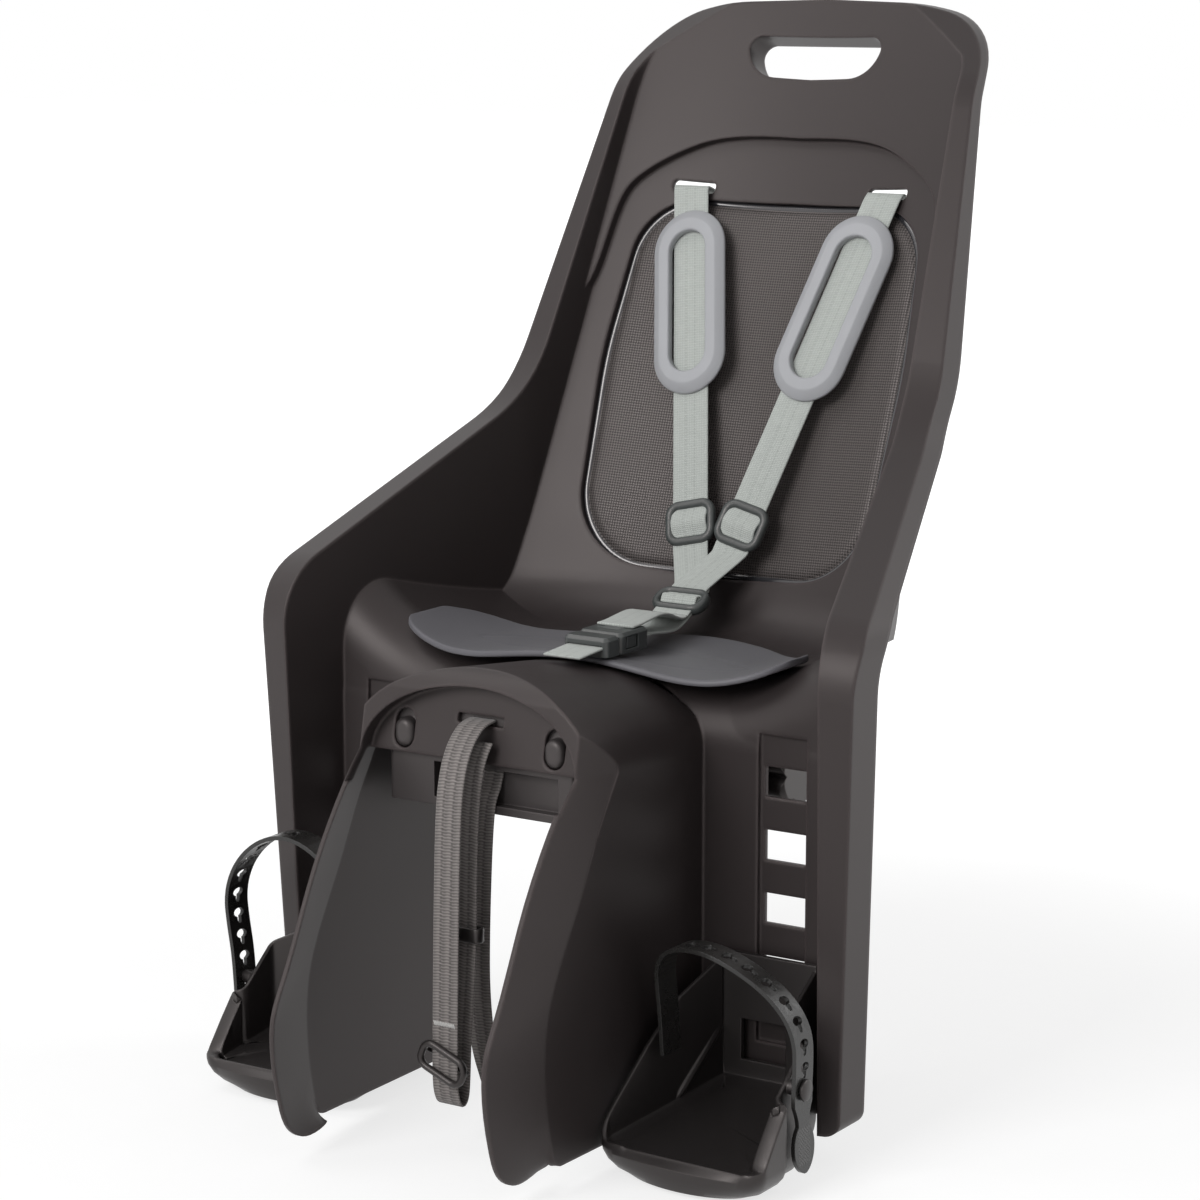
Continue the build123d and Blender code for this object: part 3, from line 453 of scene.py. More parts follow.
def woven(name, colour, row, cord, wave, hollow_shade, lines, line_dark):
    """Rows and cords by their pitch in metres; the painted shade in the hollows between them darkens the colour to the
    given share, lines are rows of stitches.
    """
    finish = Finish(name, roughness=0.85, specular_ior_level=0.25, sheen_weight=0.25, sheen_roughness=0.5)
    along, across, _ = finish.split(finish.place("UV"))
    sway = finish.noise(finish.place("UV"), 240.0, 1.0)
    cords = (across * (2 * pi / cord)).sine()
    rows = (along * (2 * pi / row) + cords * wave + sway * 1.2).sine()
    height = rows * 0.5 + cords * 0.2
    # Darker where the weave is low: painted shade in its hollows, with a random change of tone from the noise.
    shade = finish.range(height * 0.7 + sway * 0.4 + 0.35, 0.0, 1.0)
    tint = finish.blend(shade, times(colour, hollow_shade), colour)
    for place in lines:
        away = (across - place).size()
        near = finish.range(away, 1.0, 0.0, 0.0004, 0.0011)
        stitch = near * ((along * (2 * pi / STITCH)).sine() > -0.4)
        tint = finish.blend(stitch * line_dark, tint, times(colour, 0.25))
    finish.set("Base Color", tint)
    finish.set("Normal", finish.bump(height, 0.00022, 0.7))
    return finish.material


harness_web = woven("harness_webbing", (0.555, 0.585, 0.555, 1.0), 0.0012, 0.0019, 0.6, 0.70,
                    (-0.0034, 0.0034), 0.16)
safety_web = woven("safety_webbing", (0.27, 0.245, 0.235, 1.0), 0.0019, 0.0066, 0.7, 0.34,
                   (-0.0036, 0.0036), 0.62)
print("webbing finishes made")

# %% [markdown]
# Each shoulder strap comes out of a slot in the back, folds down, runs straight to its slide and on to the joining
# slide. Its line repeats the drawing's points; the strap is then bent along it.

# %% Shoulder straps
BACK_Y, BACK_Z, BACK_SLOPE = 449.0, 543.0, 0.385
WEB_W, WEB_T = 0.0270, 0.0016
HARNESS = (WEB_W, WEB_T, harness_web, "harness_webbing")
tilt = atan(BACK_SLOPE)
BACK_OUT = Vector((0.0, -cos(tilt), sin(tilt)))
BACK_UP = Vector((0.0, sin(tilt), cos(tilt)))
FORE = Vector((0.0, -1.0, -0.55)).normalized()
ACROSS = (1.0, 0.0, 0.0)
STRAP_TOP, STRAP_END, SLOT_X, SLOT_Z = (73.5, 541.0, 10.7), (20.0, 332.6, 16.4), 74.4, 543.3
SLIDE_REACH, JOIN_HALF = 0.0185, 0.0151


def off_back(x, z, out):
    """Point in front of the back's plane, by millimetres along y."""
    return at(x, BACK_Y + BACK_SLOPE * (z - BACK_Z) - out, z)


def layer(side):
    """Where the two straps meet, the left one lies over the right one."""
    return Vector((0.0, -0.7, 0.8)) * side / 1000


def strap_ends(side):
    """Both ends of the straight run."""
    return [off_back(x * side, z, out) + layer(side) for x, z, out in (STRAP_TOP, STRAP_END)]


JOIN_Z, JOIN_OUT = 288.0, 41.8
JOIN = off_back(0.0, JOIN_Z, JOIN_OUT)


def shoulder_line(side):
    top, end = strap_ends(side)
    run = (end - top).normalized()
    join = JOIN + layer(side)
    slot = off_back(SLOT_X * side, SLOT_Z, 0.0)
    return [slot - BACK_OUT * 0.009, slot + BACK_OUT * 0.008, slot + BACK_OUT * 0.0100 + Vector((0, 0, -0.0014)),
            top, top + run * 0.006, top.lerp(end, 0.3), top.lerp(end, 0.7),
            end - run * SLIDE_REACH, end + run * SLIDE_REACH, end + run * (SLIDE_REACH + 0.002),
            join - FORE * JOIN_HALF, join - FORE * (JOIN_HALF - 0.004), join + FORE * JOIN_HALF]


for name, side in SIDES:
    lay_strap(f"shoulder_webbing_{name}", shoulder_line(side), *HARNESS, f"shoulder_strap_{name}")

# %% [markdown]
# Below the joining slide the webbing makes a loop: one strand lies over the buckle, the other goes into it. A short
# strap leads forward from the buckle over the saddle.

# %% Loop and crotch straps
BUCKLE = at(13.0, 208.0, 281.8)
BUCKLE_L, BUCKLE_T, PRONG_BASE = 0.032, 0.013, 0.016
CROTCH_LINE = ((0, 0, 0), (0, -9, -0.5), (-2, -18, -2), (-4, -26, -3.5))
rear = BUCKLE + Vector((0.0, BUCKLE_L / 2, 0.0))
for name, side in (("upper", 1), ("lower", -1)):
    start = JOIN + FORE * JOIN_HALF + layer(side)
    if side > 0:
        top = BUCKLE_T / 2 + WEB_T / 2 + 0.0004
        rest = [(start + rear) / 2 + Vector((0, 0, 0.009)), rear + Vector((0, 0.002, top + 0.001)),
                rear + Vector((0, -0.006, top)), rear + Vector((0, -0.014, top))]
        reach = 0.005
    else:
        rest = [(start + rear) / 2 + Vector((0, 0.002, -0.004)), rear + Vector((0, 0.008, 0.0005)),
                rear + Vector((0, -0.006, 0.0))]
        reach = 0.011
    lay_strap(f"loop_webbing_{name}", [start, start + FORE * reach] + rest, *HARNESS, f"loop_strap_{name}")
start = BUCKLE + Vector((0.0, 0.006 - BUCKLE_L / 2 - PRONG_BASE, 0.0))
lay_strap("crotch_webbing", [start + Vector(p) / 1000 for p in CROTCH_LINE], *HARNESS, "crotch_strap")

# %% [markdown]
# The slides are small moulded rings with a bar across: the strap goes behind the ring, over the bar and behind the
# ring again. A rounded section is swept round a rounded rectangle, and the short hump of webbing over the bar belongs
# to the slide, so that it moves along with it.

# %% Ring slides
RING_CORNER, BAR_W, BAR_H, BAR_Z = 0.0068, 0.005, 0.0032, -0.0002
FOLD_W = WEB_W * 0.98
STRAP_SLIDE = (0.031, 0.037, 0.0066), 0.0062, 0.0034
JOINING_SLIDE = (0.022, 0.040, 0.0080), 0.0058, 0.0042


def rounded_loop(length, width, radius, steps=8):
    """Points of a rounded rectangle, with the outward direction at each."""
    loop = []
    for k, (sx, sy) in enumerate(((1, 1), (-1, 1), (-1, -1), (1, -1))):
        for i in range(steps + 1):
            a = pi / 2 * (k + i / steps)
            way = Vector((cos(a), sin(a), 0.0))
            centre = Vector((sx * (length / 2 - radius), sy * (width / 2 - radius), 0.0))
            loop.append((centre + way * radius, way))
    return loop


def tube(loop, wide, high, count=14):
    """Closed tube round a loop; the section is an ellipse, wide along the way and high along z."""
    verts = [p + w * (wide / 2 * cos(2 * pi * j / count)) + Vector((0, 0, high / 2 * sin(2 * pi * j / count)))
             for p, w in loop for j in range(count)]
    return verts, grid_faces(len(loop), count, wrap_rows=True)


def rod(half, wide, high, z, count=14, rows=9):
    """Bar along y with an elliptic section."""
    turns = [2 * pi * j / count for j in range(count)]
    verts = [(wide / 2 * cos(a), half * (2 * i / (rows - 1) - 1), z + high / 2 * sin(a))
             for i in range(rows) for a in turns]
    return verts, grid_faces(rows, count) + end_caps(rows, count)


def join_meshes(parts):
    """Points and faces of several parts as one."""
    points, faces = [], []
    for verts, quads in parts:
        faces += [tuple(i + len(points) for i in quad) for quad in quads]
        points += verts
    return points, faces


def placed(points, origin, ahead, across):
    """Points of a flat piece turned into place: x runs ahead, y across, z off the face."""
    side = (across - ahead * across.dot(ahead)).normalized()
    face = ahead.cross(side)
    if face.dot(BACK_OUT) < 0:
        side, face = -side, -face
    return [origin + ahead * p[0] + side * p[1] + face * p[2] for p in points]


def closed(mesh):
    """Faces turned outward on a finished mesh."""
    work = bmesh.new()
    work.from_mesh(mesh)
    bmesh.ops.recalc_face_normals(work, faces=work.faces)
    work.to_mesh(mesh)
    work.free()
    return mesh


def hump(length, width, thick, rise):
    """Webbing over the bar: a short strip that rises and falls back."""
    flat = webbing(length, width, thick, -length / 2)
    for vertex in flat.vertices:
        vertex.co.z += rise * cos(pi * vertex.co.x / length) ** 2
    return flat


def slide(name, node, body, origin, ahead, size, ring, rise):
    """A ring slide and its fold; ring is the moulding's width, rise the height of the fold."""
    length, width, high = size
    points, faces = join_meshes([tube(rounded_loop(length - ring, width - ring, RING_CORNER), ring, high),
                                 rod(width / 2 - ring * 0.6, BAR_W, BAR_H, BAR_Z)])
    across = Vector(ACROSS)
    mesh = closed(mesh_of(name, placed(points, origin, ahead, across), faces))
    settle(piece(name, mesh, slate_plastic), body, node)
    strip = hump(length - ring * 1.5, FOLD_W, WEB_T, rise)
    for vertex, place in zip(strip.vertices, placed([v.co.copy() for v in strip.vertices], origin, ahead, across)):
        vertex.co = place
    settle(piece(name + "_fold", closed(strip), harness_web), body)


for name, side in SIDES:
    top, end = strap_ends(side)
    slide(f"ring_slide_{name}", f"strap_slide_{name}", f"slide_{name}", end, (end - top).normalized(), *STRAP_SLIDE)
slide("ring_slide_joining", "joining_slide", "seat", JOIN, FORE, *JOINING_SLIDE)
print("slides made")

# %% [markdown]
# The shoulder pads are foam rings: a flat top face, a wide bevel outside and a tight edge round the window. One
# section is carried round between the window's outline and the pad's outline, so that the ends come out broader than
# the sides, as on the real pad.

# %% Shoulder pads


def foam(name, colour, roughness):
    finish = Finish(name, specular_ior_level=0.35, sheen_weight=0.08, sheen_roughness=0.5)
    where = finish.place()
    cloud = finish.noise(where, 26.0, 3.0)
    fine = finish.noise(where, 1900.0, 1.0)
    finish.set("Roughness", finish.range(cloud * 0.5 + fine * 0.5, roughness - 0.06, roughness + 0.06))
    finish.set("Base Color", finish.blend(finish.range(cloud, 0.0, 1.0), times(colour, 0.86), colour))
    finish.set("Normal", finish.bump(fine, 0.00007, 0.6))
    return finish.material


shoulder_foam = foam("shoulder_foam", (0.43, 0.435, 0.455, 1.0), 0.5)
seat_foam = foam("seat_foam", (0.132, 0.128, 0.141, 1.0), 0.42)
PAD_L, PAD_W, WINDOW_L, WINDOW_W = 0.1300, 0.0540, 0.1000, 0.0275
PAD_SHARE = 0.335
PAD_SECTION = [(0.0, 0.0003), (0.0, 0.0046), (0.015, 0.0055), (0.06, 0.0060), (0.12, 0.0061), (0.50, 0.0061),
               (0.555, 0.0060), (0.60, 0.0057), (0.66, 0.0052), (0.94, 0.0027), (0.985, 0.0020),
               (1.0, 0.0012), (0.985, 0.0003)]


def capsule(length, width, count):
    """Even points round a capsule, matched by angle along its ends and by share along its sides."""
    r, half = width / 2, (length - width) / 2
    loop = []
    for k in range(2):
        sign = 1 - 2 * k
        for i in range(count):
            a = -pi / 2 + pi * i / (count - 1)
            loop.append(Vector((sign * (half + r * cos(a)), sign * r * sin(a), 0.0)))
        for i in range(1, count):
            loop.append(Vector((sign * half * (1 - 2 * i / count), sign * r, 0.0)))
    return loop


def shoulder_ring():
    outer, inner = capsule(PAD_L, PAD_W, 24), capsule(WINDOW_L, WINDOW_W, 24)
    points = [i.lerp(o, share) + Vector((0, 0, z + WEB_T / 2))
              for o, i in zip(outer, inner) for share, z in PAD_SECTION]
    return points, grid_faces(len(outer), len(PAD_SECTION), wrap_rows=True)


for name, side in SIDES:
    top, end = strap_ends(side)
    points, faces = shoulder_ring()
    ahead = (end - top).normalized()
    points = placed(points, top.lerp(end, PAD_SHARE), ahead, Vector(ACROSS))
    pad = piece(f"shoulder_foam_{name}", closed(mesh_of("shoulder_ring", points, faces)), shoulder_foam)
    settle(pad, f"pad_{name}", f"shoulder_pad_{name}")
print("shoulder pads made")

# %% [markdown]
# The back pad is a thin foam panel let into the back. A fine diagonal lattice of dimples covers it, and its edge is
# welded down to a smooth, shiny border. It is built in rings from its outline to its middle, each point set on the
# hollow of the back.

# %% Back pad
BOWL_R = 0.470
PAD_CORNERS = [(-109, 297, 52), (109, 297, 52), (116, 430, 300), (106, 536, 44), (-106, 536, 44), (-116, 430, 300)]
POCKET, BORDER, NEAR_EDGE, LOOP_POINTS = 0.006, 4.0, 20, 220


def on_back(x, up, depth):
    """Point of the back's hollow: x across, up along the slope from the seat's reference, depth behind it."""
    turn = x / BOWL_R
    far = BOWL_R + depth
    axis = at(0, BACK_Y, BACK_Z) + BACK_OUT * BOWL_R + BACK_UP * up
    return axis + Vector((1, 0, 0)) * (far * sin(turn)) - BACK_OUT * (far * cos(turn))


def corner_loop(corners, steps=14):
    """Outline with rounded corners, as evenly spaced points."""
    points = []
    n = len(corners)
    for k in range(n):
        before, here, after = (Vector(corners[(k + d) % n][:2]) for d in (-1, 0, 1))
        radius = corners[k][2]
        u, v = (before - here).normalized(), (after - here).normalized()
        half = u.angle(v) / 2
        start, finish = here + u * (radius / tan(half)), here + v * (radius / tan(half))
        centre = here + (u + v).normalized() * (radius / sin(half))
        for i in range(steps + 1):
            way = (start - centre).lerp(finish - centre, i / steps).normalized()
            points.append(centre + way * radius)
    spread = [(points[i] - points[i - 1]).length for i in range(len(points))]
    even, i, gone = [], 0, 0.0
    for k in range(LOOP_POINTS):
        goal = sum(spread) * k / LOOP_POINTS
        while gone + spread[(i + 1) % len(points)] < goal:
            gone += spread[(i + 1) % len(points)]
            i += 1
        share = (goal - gone) / spread[(i + 1) % len(points)]
        even.append(points[i % len(points)].lerp(points[(i + 1) % len(points)], share))
    return even


pad_loop = [Vector((x, (z - BACK_Z) / cos(tilt))) for x, z in corner_loop(PAD_CORNERS)]
pad_middle = sum(pad_loop, Vector((0, 0))) / len(pad_loop)
PAD_RINGS = [(0.0, -0.0002), (0.0, 0.0018), (0.3, 0.0025), (0.8, 0.0029), (3.0, 0.0030), (3.5, 0.0027), (4.1, 0.0022),
             (4.8, 0.0026), (6.2, 0.0036), (10.0, 0.0042), (16.0, 0.0046), (30.0, 0.0050), (46.0, 0.0052),
             (62.0, 0.0053), (80.0, 0.0053), (96.0, 0.0053)]


def inward(spot, inset):
    """A point moved in from the outline: by millimetres near the edge, by hundredths of the way further in."""
    way = pad_middle - spot
    return spot + way * (inset / way.length if inset < NEAR_EDGE else inset / 100)


flat = [(inward(spot, inset) / 1000, rise) for inset, rise in PAD_RINGS for spot in pad_loop]
flat.append((pad_middle / 1000, PAD_RINGS[-1][1]))
points = [on_back(place.x, place.y, POCKET - rise) for place, rise in flat]
count, last = len(pad_loop), (len(PAD_RINGS) - 1) * len(pad_loop)
faces = grid_faces(len(PAD_RINGS), count)
faces += [(last + i, last + (i + 1) % count, len(points) - 1) for i in range(count)]
faces.append(tuple(range(count))[::-1])
back_mesh = closed(mesh_of("back_foam", points, faces))
sheet = back_mesh.uv_layers.new(name="UVMap").data
for loop in back_mesh.loops:
    sheet[loop.index].uv = flat[loop.vertex_index][0]
border = back_mesh.attributes.new("border", "FLOAT", "POINT")
for k, (inset, rise) in enumerate(PAD_RINGS):
    for i in range(count):
        border.data[k * count + i].value = 1.0 if inset < BORDER else 0.0


def lattice(u, v, pitch):
    """Dots in diagonal rows, as a height from -1 to 1."""
    turn = 2 * pi / pitch
    return (u * turn + v * turn).sine() * (u * turn - v * turn).sine()


def dotted_foam():
    finish = Finish("back_foam", specular_ior_level=0.5, specular_tint=WARM, coat_roughness=0.14)
    u, v, _ = finish.split(finish.place("UV"))
    dots = lattice(u, v, 0.0036)
    dimple = finish.range(dots, 0.0, 1.0, -0.1, 0.45)
    cloud = finish.noise(finish.place(), 14.0, 3.0)
    edge = finish.node("ShaderNodeAttribute", {"attribute_name": "border"}, out=2)
    # Dark in the dimples: painted shade in their hollows. The noise darkens it further at random.
    body = finish.blend(dimple, (0.110, 0.096, 0.092, 1.0), (0.008, 0.0070, 0.0070, 1.0))
    body = finish.blend(finish.range(cloud, 0.0, 0.30), body, (0.016, 0.014, 0.014, 1.0))
    finish.set("Base Color", finish.blend(edge, body, (0.030, 0.030, 0.034, 1.0)))
    finish.set("Roughness", edge * -0.22 + 0.40 + dimple * 0.10)
    finish.set("Coat Weight", edge * 0.8)
    finish.set("Normal", finish.bump(dimple * (1 - edge) * -1.0, 0.00045, 0.8))
    return finish.material


back_piece = piece("back_foam", back_mesh, dotted_foam())
settle(back_piece, "seat", "back_pad")
print("back pad:", len(back_mesh.polygons), "faces")

# %% [markdown]
# The seat pad is a loose leaf of soft foam that lies on the pan and over the saddle. Its ends ride up the sides of
# the pan, its front edge stands free over the roll, and a long pointed loop is pressed into its top. A grid
# between a front and a rear line gives it a clean edge and room for the pressed line.

# %% Seat pad
PAD_FRONT = [(-141, 213), (-140, 203), (-136, 196), (-128, 191), (-112, 186), (-84, 180), (-49, 178), (0, 178),
             (49, 179), (88, 180), (113, 186), (129, 193), (137, 200), (141, 208), (142, 218)]
PAD_REAR = [(-141, 229), (-140, 239), (-136, 249), (-128, 261), (-114, 269), (-95, 269), (-76, 267), (-39, 277),
            (0, 296), (30, 303), (72, 291), (105, 269), (122, 252), (133, 240), (139, 232), (142, 226)]
SEAT_Z, PAN_X, PAN_R = 264.0, 88.0, 122.0
FOAM_T, EDGE_R, LIFT, ROWS = 4.2, 2.2, 0.4, 44
HUMP_RISE, HUMP_FROM, HUMP_HALF = 0.126, 236, 84
LEAF_X, LEAF_Y, LEAF_HALF, LEAF_W = 3, 223, 101, 27
GROOVE_D, GROOVE_W = 0.55, 1.9
TIP_FROM, TIP_L, TIP_RISE = 96, 45, 1.6
UNDERCUT, SIDE_SHARE = 0.9, 0.42


def smooth_line(stops, x):
    """Height of a smooth line through its stops."""
    k = max(1, min(len(stops) - 1, next((i for i, stop in enumerate(stops) if stop[0] >= x), len(stops) - 1)))
    (xa, ya), (xb, yb) = stops[k - 1], stops[k]
    before, after = stops[max(k - 2, 0)], stops[min(k + 1, len(stops) - 1)]
    slope_a = (yb - before[1]) / (xb - before[0])
    slope_b = (after[1] - ya) / (after[0] - xa)
    t, d = (x - xa) / (xb - xa), xb - xa
    return (ya * (2 * t ** 3 - 3 * t ** 2 + 1) + slope_a * d * (t ** 3 - 2 * t ** 2 + t)
            + yb * (3 * t ** 2 - 2 * t ** 3) + slope_b * d * (t ** 3 - t ** 2))


def pan_z(x, y):
    """The pan under the pad, with the saddle's hump in front."""
    side = max(0.0, abs(x) - PAN_X)
    hump_here = HUMP_RISE * max(0.0, HUMP_FROM - y) * max(0.0, 1 - (x / HUMP_HALF) ** 2) ** 2
    return SEAT_Z + PAN_R - (PAN_R ** 2 - side ** 2) ** 0.5 + hump_here


def pressed(x, y):
    """Depth of the pressed loop: a long leaf with pointed ends."""
    if abs(x - LEAF_X) >= LEAF_HALF:
        return 0.0
    half = LEAF_W * (1 - ((x - LEAF_X) / LEAF_HALF) ** 2) ** 0.8
    return GROOVE_D * max(0.0, 1 - ((abs(y - LEAF_Y) - half) / GROOVE_W) ** 2)


PAD_X0, PAD_X1 = PAD_FRONT[0][0], PAD_FRONT[-1][0]
insets = [0.0, 0.25, 0.7, 1.4, 2.2, 4.0]
columns = [PAD_X0 + d for d in insets] + list(range(PAD_X0 + 6, PAD_X1 - 5, 2)) + [PAD_X1 - d for d in reversed(insets)]
points = []
for under in (True, False):
    for x in columns:
        front, rear = smooth_line(PAD_FRONT, x), smooth_line(PAD_REAR, x)
        depth = rear - front
        steps = [min(d, depth * 0.12 * (k + 1) / 6) for k, d in enumerate(insets)]
        inner = [steps[-1] + (depth - 2 * steps[-1]) * (i + 1) / (ROWS + 1) for i in range(ROWS)]
        for step in steps + inner + [depth - s for s in reversed(steps)]:
            y = front + step
            edge = min(step, depth - step, x - PAD_X0, PAD_X1 - x)
            round_off = (1 - (1 - min(edge / EDGE_R, 1.0)) ** 2) ** 0.5
            tip = TIP_RISE * max(0.0, (abs(x) - TIP_FROM) / TIP_L) ** 2
            low = pan_z(x, y) + LIFT + tip
            if under:
                points.append(at(x, y, low + UNDERCUT * (1 - round_off)))
            else:
                thick = FOAM_T * (SIDE_SHARE + (1 - SIDE_SHARE) * round_off)
                points.append(at(x, y, low + thick - pressed(x, y)))
wide, deep = len(columns), ROWS + 2 * len(insets)
half = wide * deep
faces = []
for i in range(wide - 1):
    for j in range(deep - 1):
        a, b, c, d = i * deep + j, (i + 1) * deep + j, (i + 1) * deep + j + 1, i * deep + j + 1
        faces += [(a, d, c, b), (half + a, half + b, half + c, half + d)]
rim = [i * deep for i in range(wide)] + [(wide - 1) * deep + j for j in range(1, deep)]
rim += [i * deep + deep - 1 for i in range(wide - 2, -1, -1)] + list(range(deep - 2, 0, -1))
faces += [(a, b, half + b, half + a) for a, b in zip(rim, rim[1:] + rim[:1])]
seat_piece = piece("seat_foam", closed(mesh_of("seat_foam", points, faces)), seat_foam)
settle(seat_piece, "seat", "seat_pad")
print("seat pad:", len(faces), "faces")

# %% [markdown]
# The safety strap hangs from a slot in the bulkhead: a front strand, a loop at the bottom, and a rear strand back up.
# A third strand behind them comes out of the clamp's front. All three are grey webbing with two dark stitch lines,
# laid along lines that sway a little, as a hanging strap does.

# %% Safety strap
SAFETY_W, SAFETY_T = 0.0185, 0.0015
SAFETY_LINE = [(0, 86.2, 251), (0, 80, 251), (0, 70, 248), (0, 58, 236), (0, 51, 216), (-0.5, 49, 190), (-2, 49, 140),
               (-3, 49, 95), (-3.6, 49, 60), (-4, 49, 32), (-4, 52, 22), (-4, 56, 18.4), (-4, 60.5, 22), (-4, 62, 32),
               (-3.4, 62.6, 60), (-1, 63.3, 95), (0, 63.9, 118), (0, 64.7, 155), (0.5, 66, 195), (2, 67.4, 218),
               (4, 70, 233), (5, 75, 240)]
REAR_LINE = [(4, 88, 221), (4, 85.5, 212), (3, 81, 204), (2, 80.2, 194), (0, 80.5, 170), (-3, 82, 122), (-4, 83, 82),
             (-1, 85, 45), (6, 87, 22), (10, 88, 8)]
for name, stops, node in (("safety_webbing", SAFETY_LINE, "safety_strap"), ("safety_webbing_rear", REAR_LINE, None)):
    lay_strap(name, [at(*stop) for stop in stops], SAFETY_W, SAFETY_T, safety_web, "safety_webbing", node)

# %% [markdown]
# A bar tack of pale thread holds the fold of the front strand. One slanted stitch is a small rounded stick; the rule
# sets it along a row, a little crowded, as a sewing machine does.

# %% Bar tack
row_of = Rule("row_of_copies", Count="Int", Step="Vector", Finish="Material")
marks = row_of.node("GeometryNodeMeshLine", {"mode": "OFFSET"},
                    {"Count": row_of.given["Count"], "Offset": row_of.given["Step"]})
row_of.close(row_of.node("GeometryNodeInstanceOnPoints", None,
                         {"Points": marks[0], "Instance": row_of.given["Geometry"]})[0])
thread = Finish("bar_tack_thread", roughness=0.7, sheen_weight=0.2)
thread.set("Base Color", thread.blend(thread.noise(thread.place(), 2200.0, 1.0), grey(0.42, 0.02), grey(0.72, 0.02)))


def stick(start, end, radius, count=6):
    """Short thread with tapered ends from one point to another."""
    way = (end - start).normalized()
    side = way.orthogonal().normalized()
    other = way.cross(side)
    rings = ((0.0, 0.25), (0.15, 0.9), (0.5, 1.0), (0.85, 0.9), (1.0, 0.25))
    turns = [2 * pi * k / count for k in range(count)]
    points = [start.lerp(end, share) + (side * cos(a) + other * sin(a)) * radius * size
              for share, size in rings for a in turns]
    return closed(mesh_of("stick", points, grid_faces(len(rings), count) + end_caps(len(rings), count)))


TACK_START, TACK_END, TACK_R, STITCHES = at(-11.2, 48.05, 72.4), at(-10.0, 48.05, 69.4), 0.00045, 13
tack = row_of.run("bar_tack", stick(TACK_START, TACK_END, TACK_R), Count=STITCHES, Step=(0.00118, 0.0, 0.0),
                  Finish=thread.material)
settle(tack, "seat")
print("bar tack:", len(tack.data.polygons), "faces")

# %% [markdown]
# The strap's length is set by a black ring slide that hangs askew: the webbing runs behind its ring and in front of
# its bar. The keeper is a narrow band of soft black rubber round the rear strand.

# %% Safety slide and keeper
TWIST = radians(22)
GLIDE_AT, GLIDE_L, GLIDE_W, GLIDE_RING = at(-3.6, 45.6, 47), 0.020, 0.036, 0.0044
glide_ring = tube(rounded_loop(GLIDE_L - GLIDE_RING, GLIDE_W - GLIDE_RING, 0.0062), GLIDE_RING, 0.0046)
points, faces = join_meshes([glide_ring, rod(0.0155, 0.0038, 0.0026, -0.0062)])
glide_ahead, glide_across = Vector((-sin(TWIST), 0, -cos(TWIST))), Vector((cos(TWIST), 0, -sin(TWIST)))
front_face = glide_ahead.cross(glide_across)
if front_face.y > 0:
    front_face, glide_across = -front_face, -glide_across
points = [GLIDE_AT + glide_ahead * p[0] + glide_across * p[1] + front_face * p[2] for p in points]
glide = piece("safety_ring_slide", closed(mesh_of("safety_ring_slide", points, faces)), black_plastic)
settle(glide, "safety_slide", "safety_glide")
keeper_loop = rounded_loop(0.0052, 0.0236, 0.0020, 5)
KEEPER_AT = at(0, 64.2, 120)
KEEPER_ROWS = [(0.0, 0.0), (0.0, 0.0011), (0.0007, 0.0016), (0.0083, 0.0016), (0.0090, 0.0011), (0.0090, 0.0)]
points = [KEEPER_AT + Vector((p.y + w.y * out, p.x + w.x * out, up)) for up, out in KEEPER_ROWS for p, w in keeper_loop]
faces = grid_faces(len(KEEPER_ROWS), len(keeper_loop), wrap_rows=True)
keeper = piece("keeper_band", closed(mesh_of("keeper_band", points, faces)), black_plastic)
settle(keeper, "keeper", "strap_keeper")
print("slide and keeper made")

# %% [markdown]
# Each footrest is an open tray: two side walls that slope down to a low front lip, a broad rim on the outside as far
# as the strap's stud, and a back wall with a window that runs in the ladder. The tray is built in rings, from the
# middle of its underside, over the rim, to the middle of its floor.

# %% Footrests
TRAY_PLAN = [(89, 67, 12), (206, 63, 9), (206, 96, 2), (199, 98, 2), (199, 127, 6), (182, 139, 6), (176, 184, 3),
             (109, 184, 3)]
TRAY_MIDDLE = Vector((146.0, 124.0))
INNER_RIM = [(56, 11), (68, 12), (86, 31), (113, 58), (141, 82), (184, 101)]
OUTER_RIM = [(60, 11), (70, 13), (84, 31), (99, 49), (124, 70), (149, 87), (184, 101)]
TRAY_LOW, TRAY_FRONT, BACK_LOW, BACK_TOP, WALL_FRONT, WALL_REAR = -10.4, 11.0, 30.0, 103.0, 180.5, 184.0
FLOOR_Z, FLOOR_Y, FLOOR_SLOPE = 7.5, 66, 0.14
INNER_X, OUTER_X, FRONT_Y, REAR_Y = 112, 194, 74, 181
HULL_X, HULL_HALF, BELLY = 148, 56, 4.5
HULL = ((0.70, 0.0, TRAY_LOW), (0.14, 0.26, -10.0), (0.06, 0.20, -8.0), (0.03, 0.10, -4.0), (0.01, 0.04, 1.0),
        (0.0, 0.01, 6.0))
LIP, LIP_GROWS, LIP_ENDS = 3.0, [(192, 0.0), (201, 7.0)], [(95, 1.0), (97, 0.0)]
BACK_WINDOW = ((109, 176, 22, BACK_TOP), (124, 168, 36, 62))
TONGUE = ((131.0, 162.5), (183.0, 190.5), (64.0, 97.0))
STUD_AT = (110.0, 52.0)
STUD_TURN = [(197, 4.5), (209.2, 4.5), (209.2, 6.5), (210.6, 6.5), (211.3, 5.4), (211.3, 0.6)]


def between(stops, place):
    """Height at a place along a row of (place, height) stops."""
    for (a, low), (b, high) in zip(stops, stops[1:]):
        if place <= b:
            return low + (high - low) * max(0.0, (place - a) / (b - a))
    return stops[-1][1]


def rim_height(spot):
    if spot.y > REAR_Y:
        return BACK_LOW
    if spot.x < INNER_X:
        return between(INNER_RIM, spot.y)
    return TRAY_FRONT if spot.y < FRONT_Y and spot.x < OUTER_X else between(OUTER_RIM, spot.y)


def floor_height(y):
    return FLOOR_Z + FLOOR_SLOPE * (y - FLOOR_Y)


def lip_width(spot):
    """Broad on the outside near the front, thin elsewhere."""
    return LIP + between(LIP_GROWS, spot.x) * between(LIP_ENDS, spot.y)


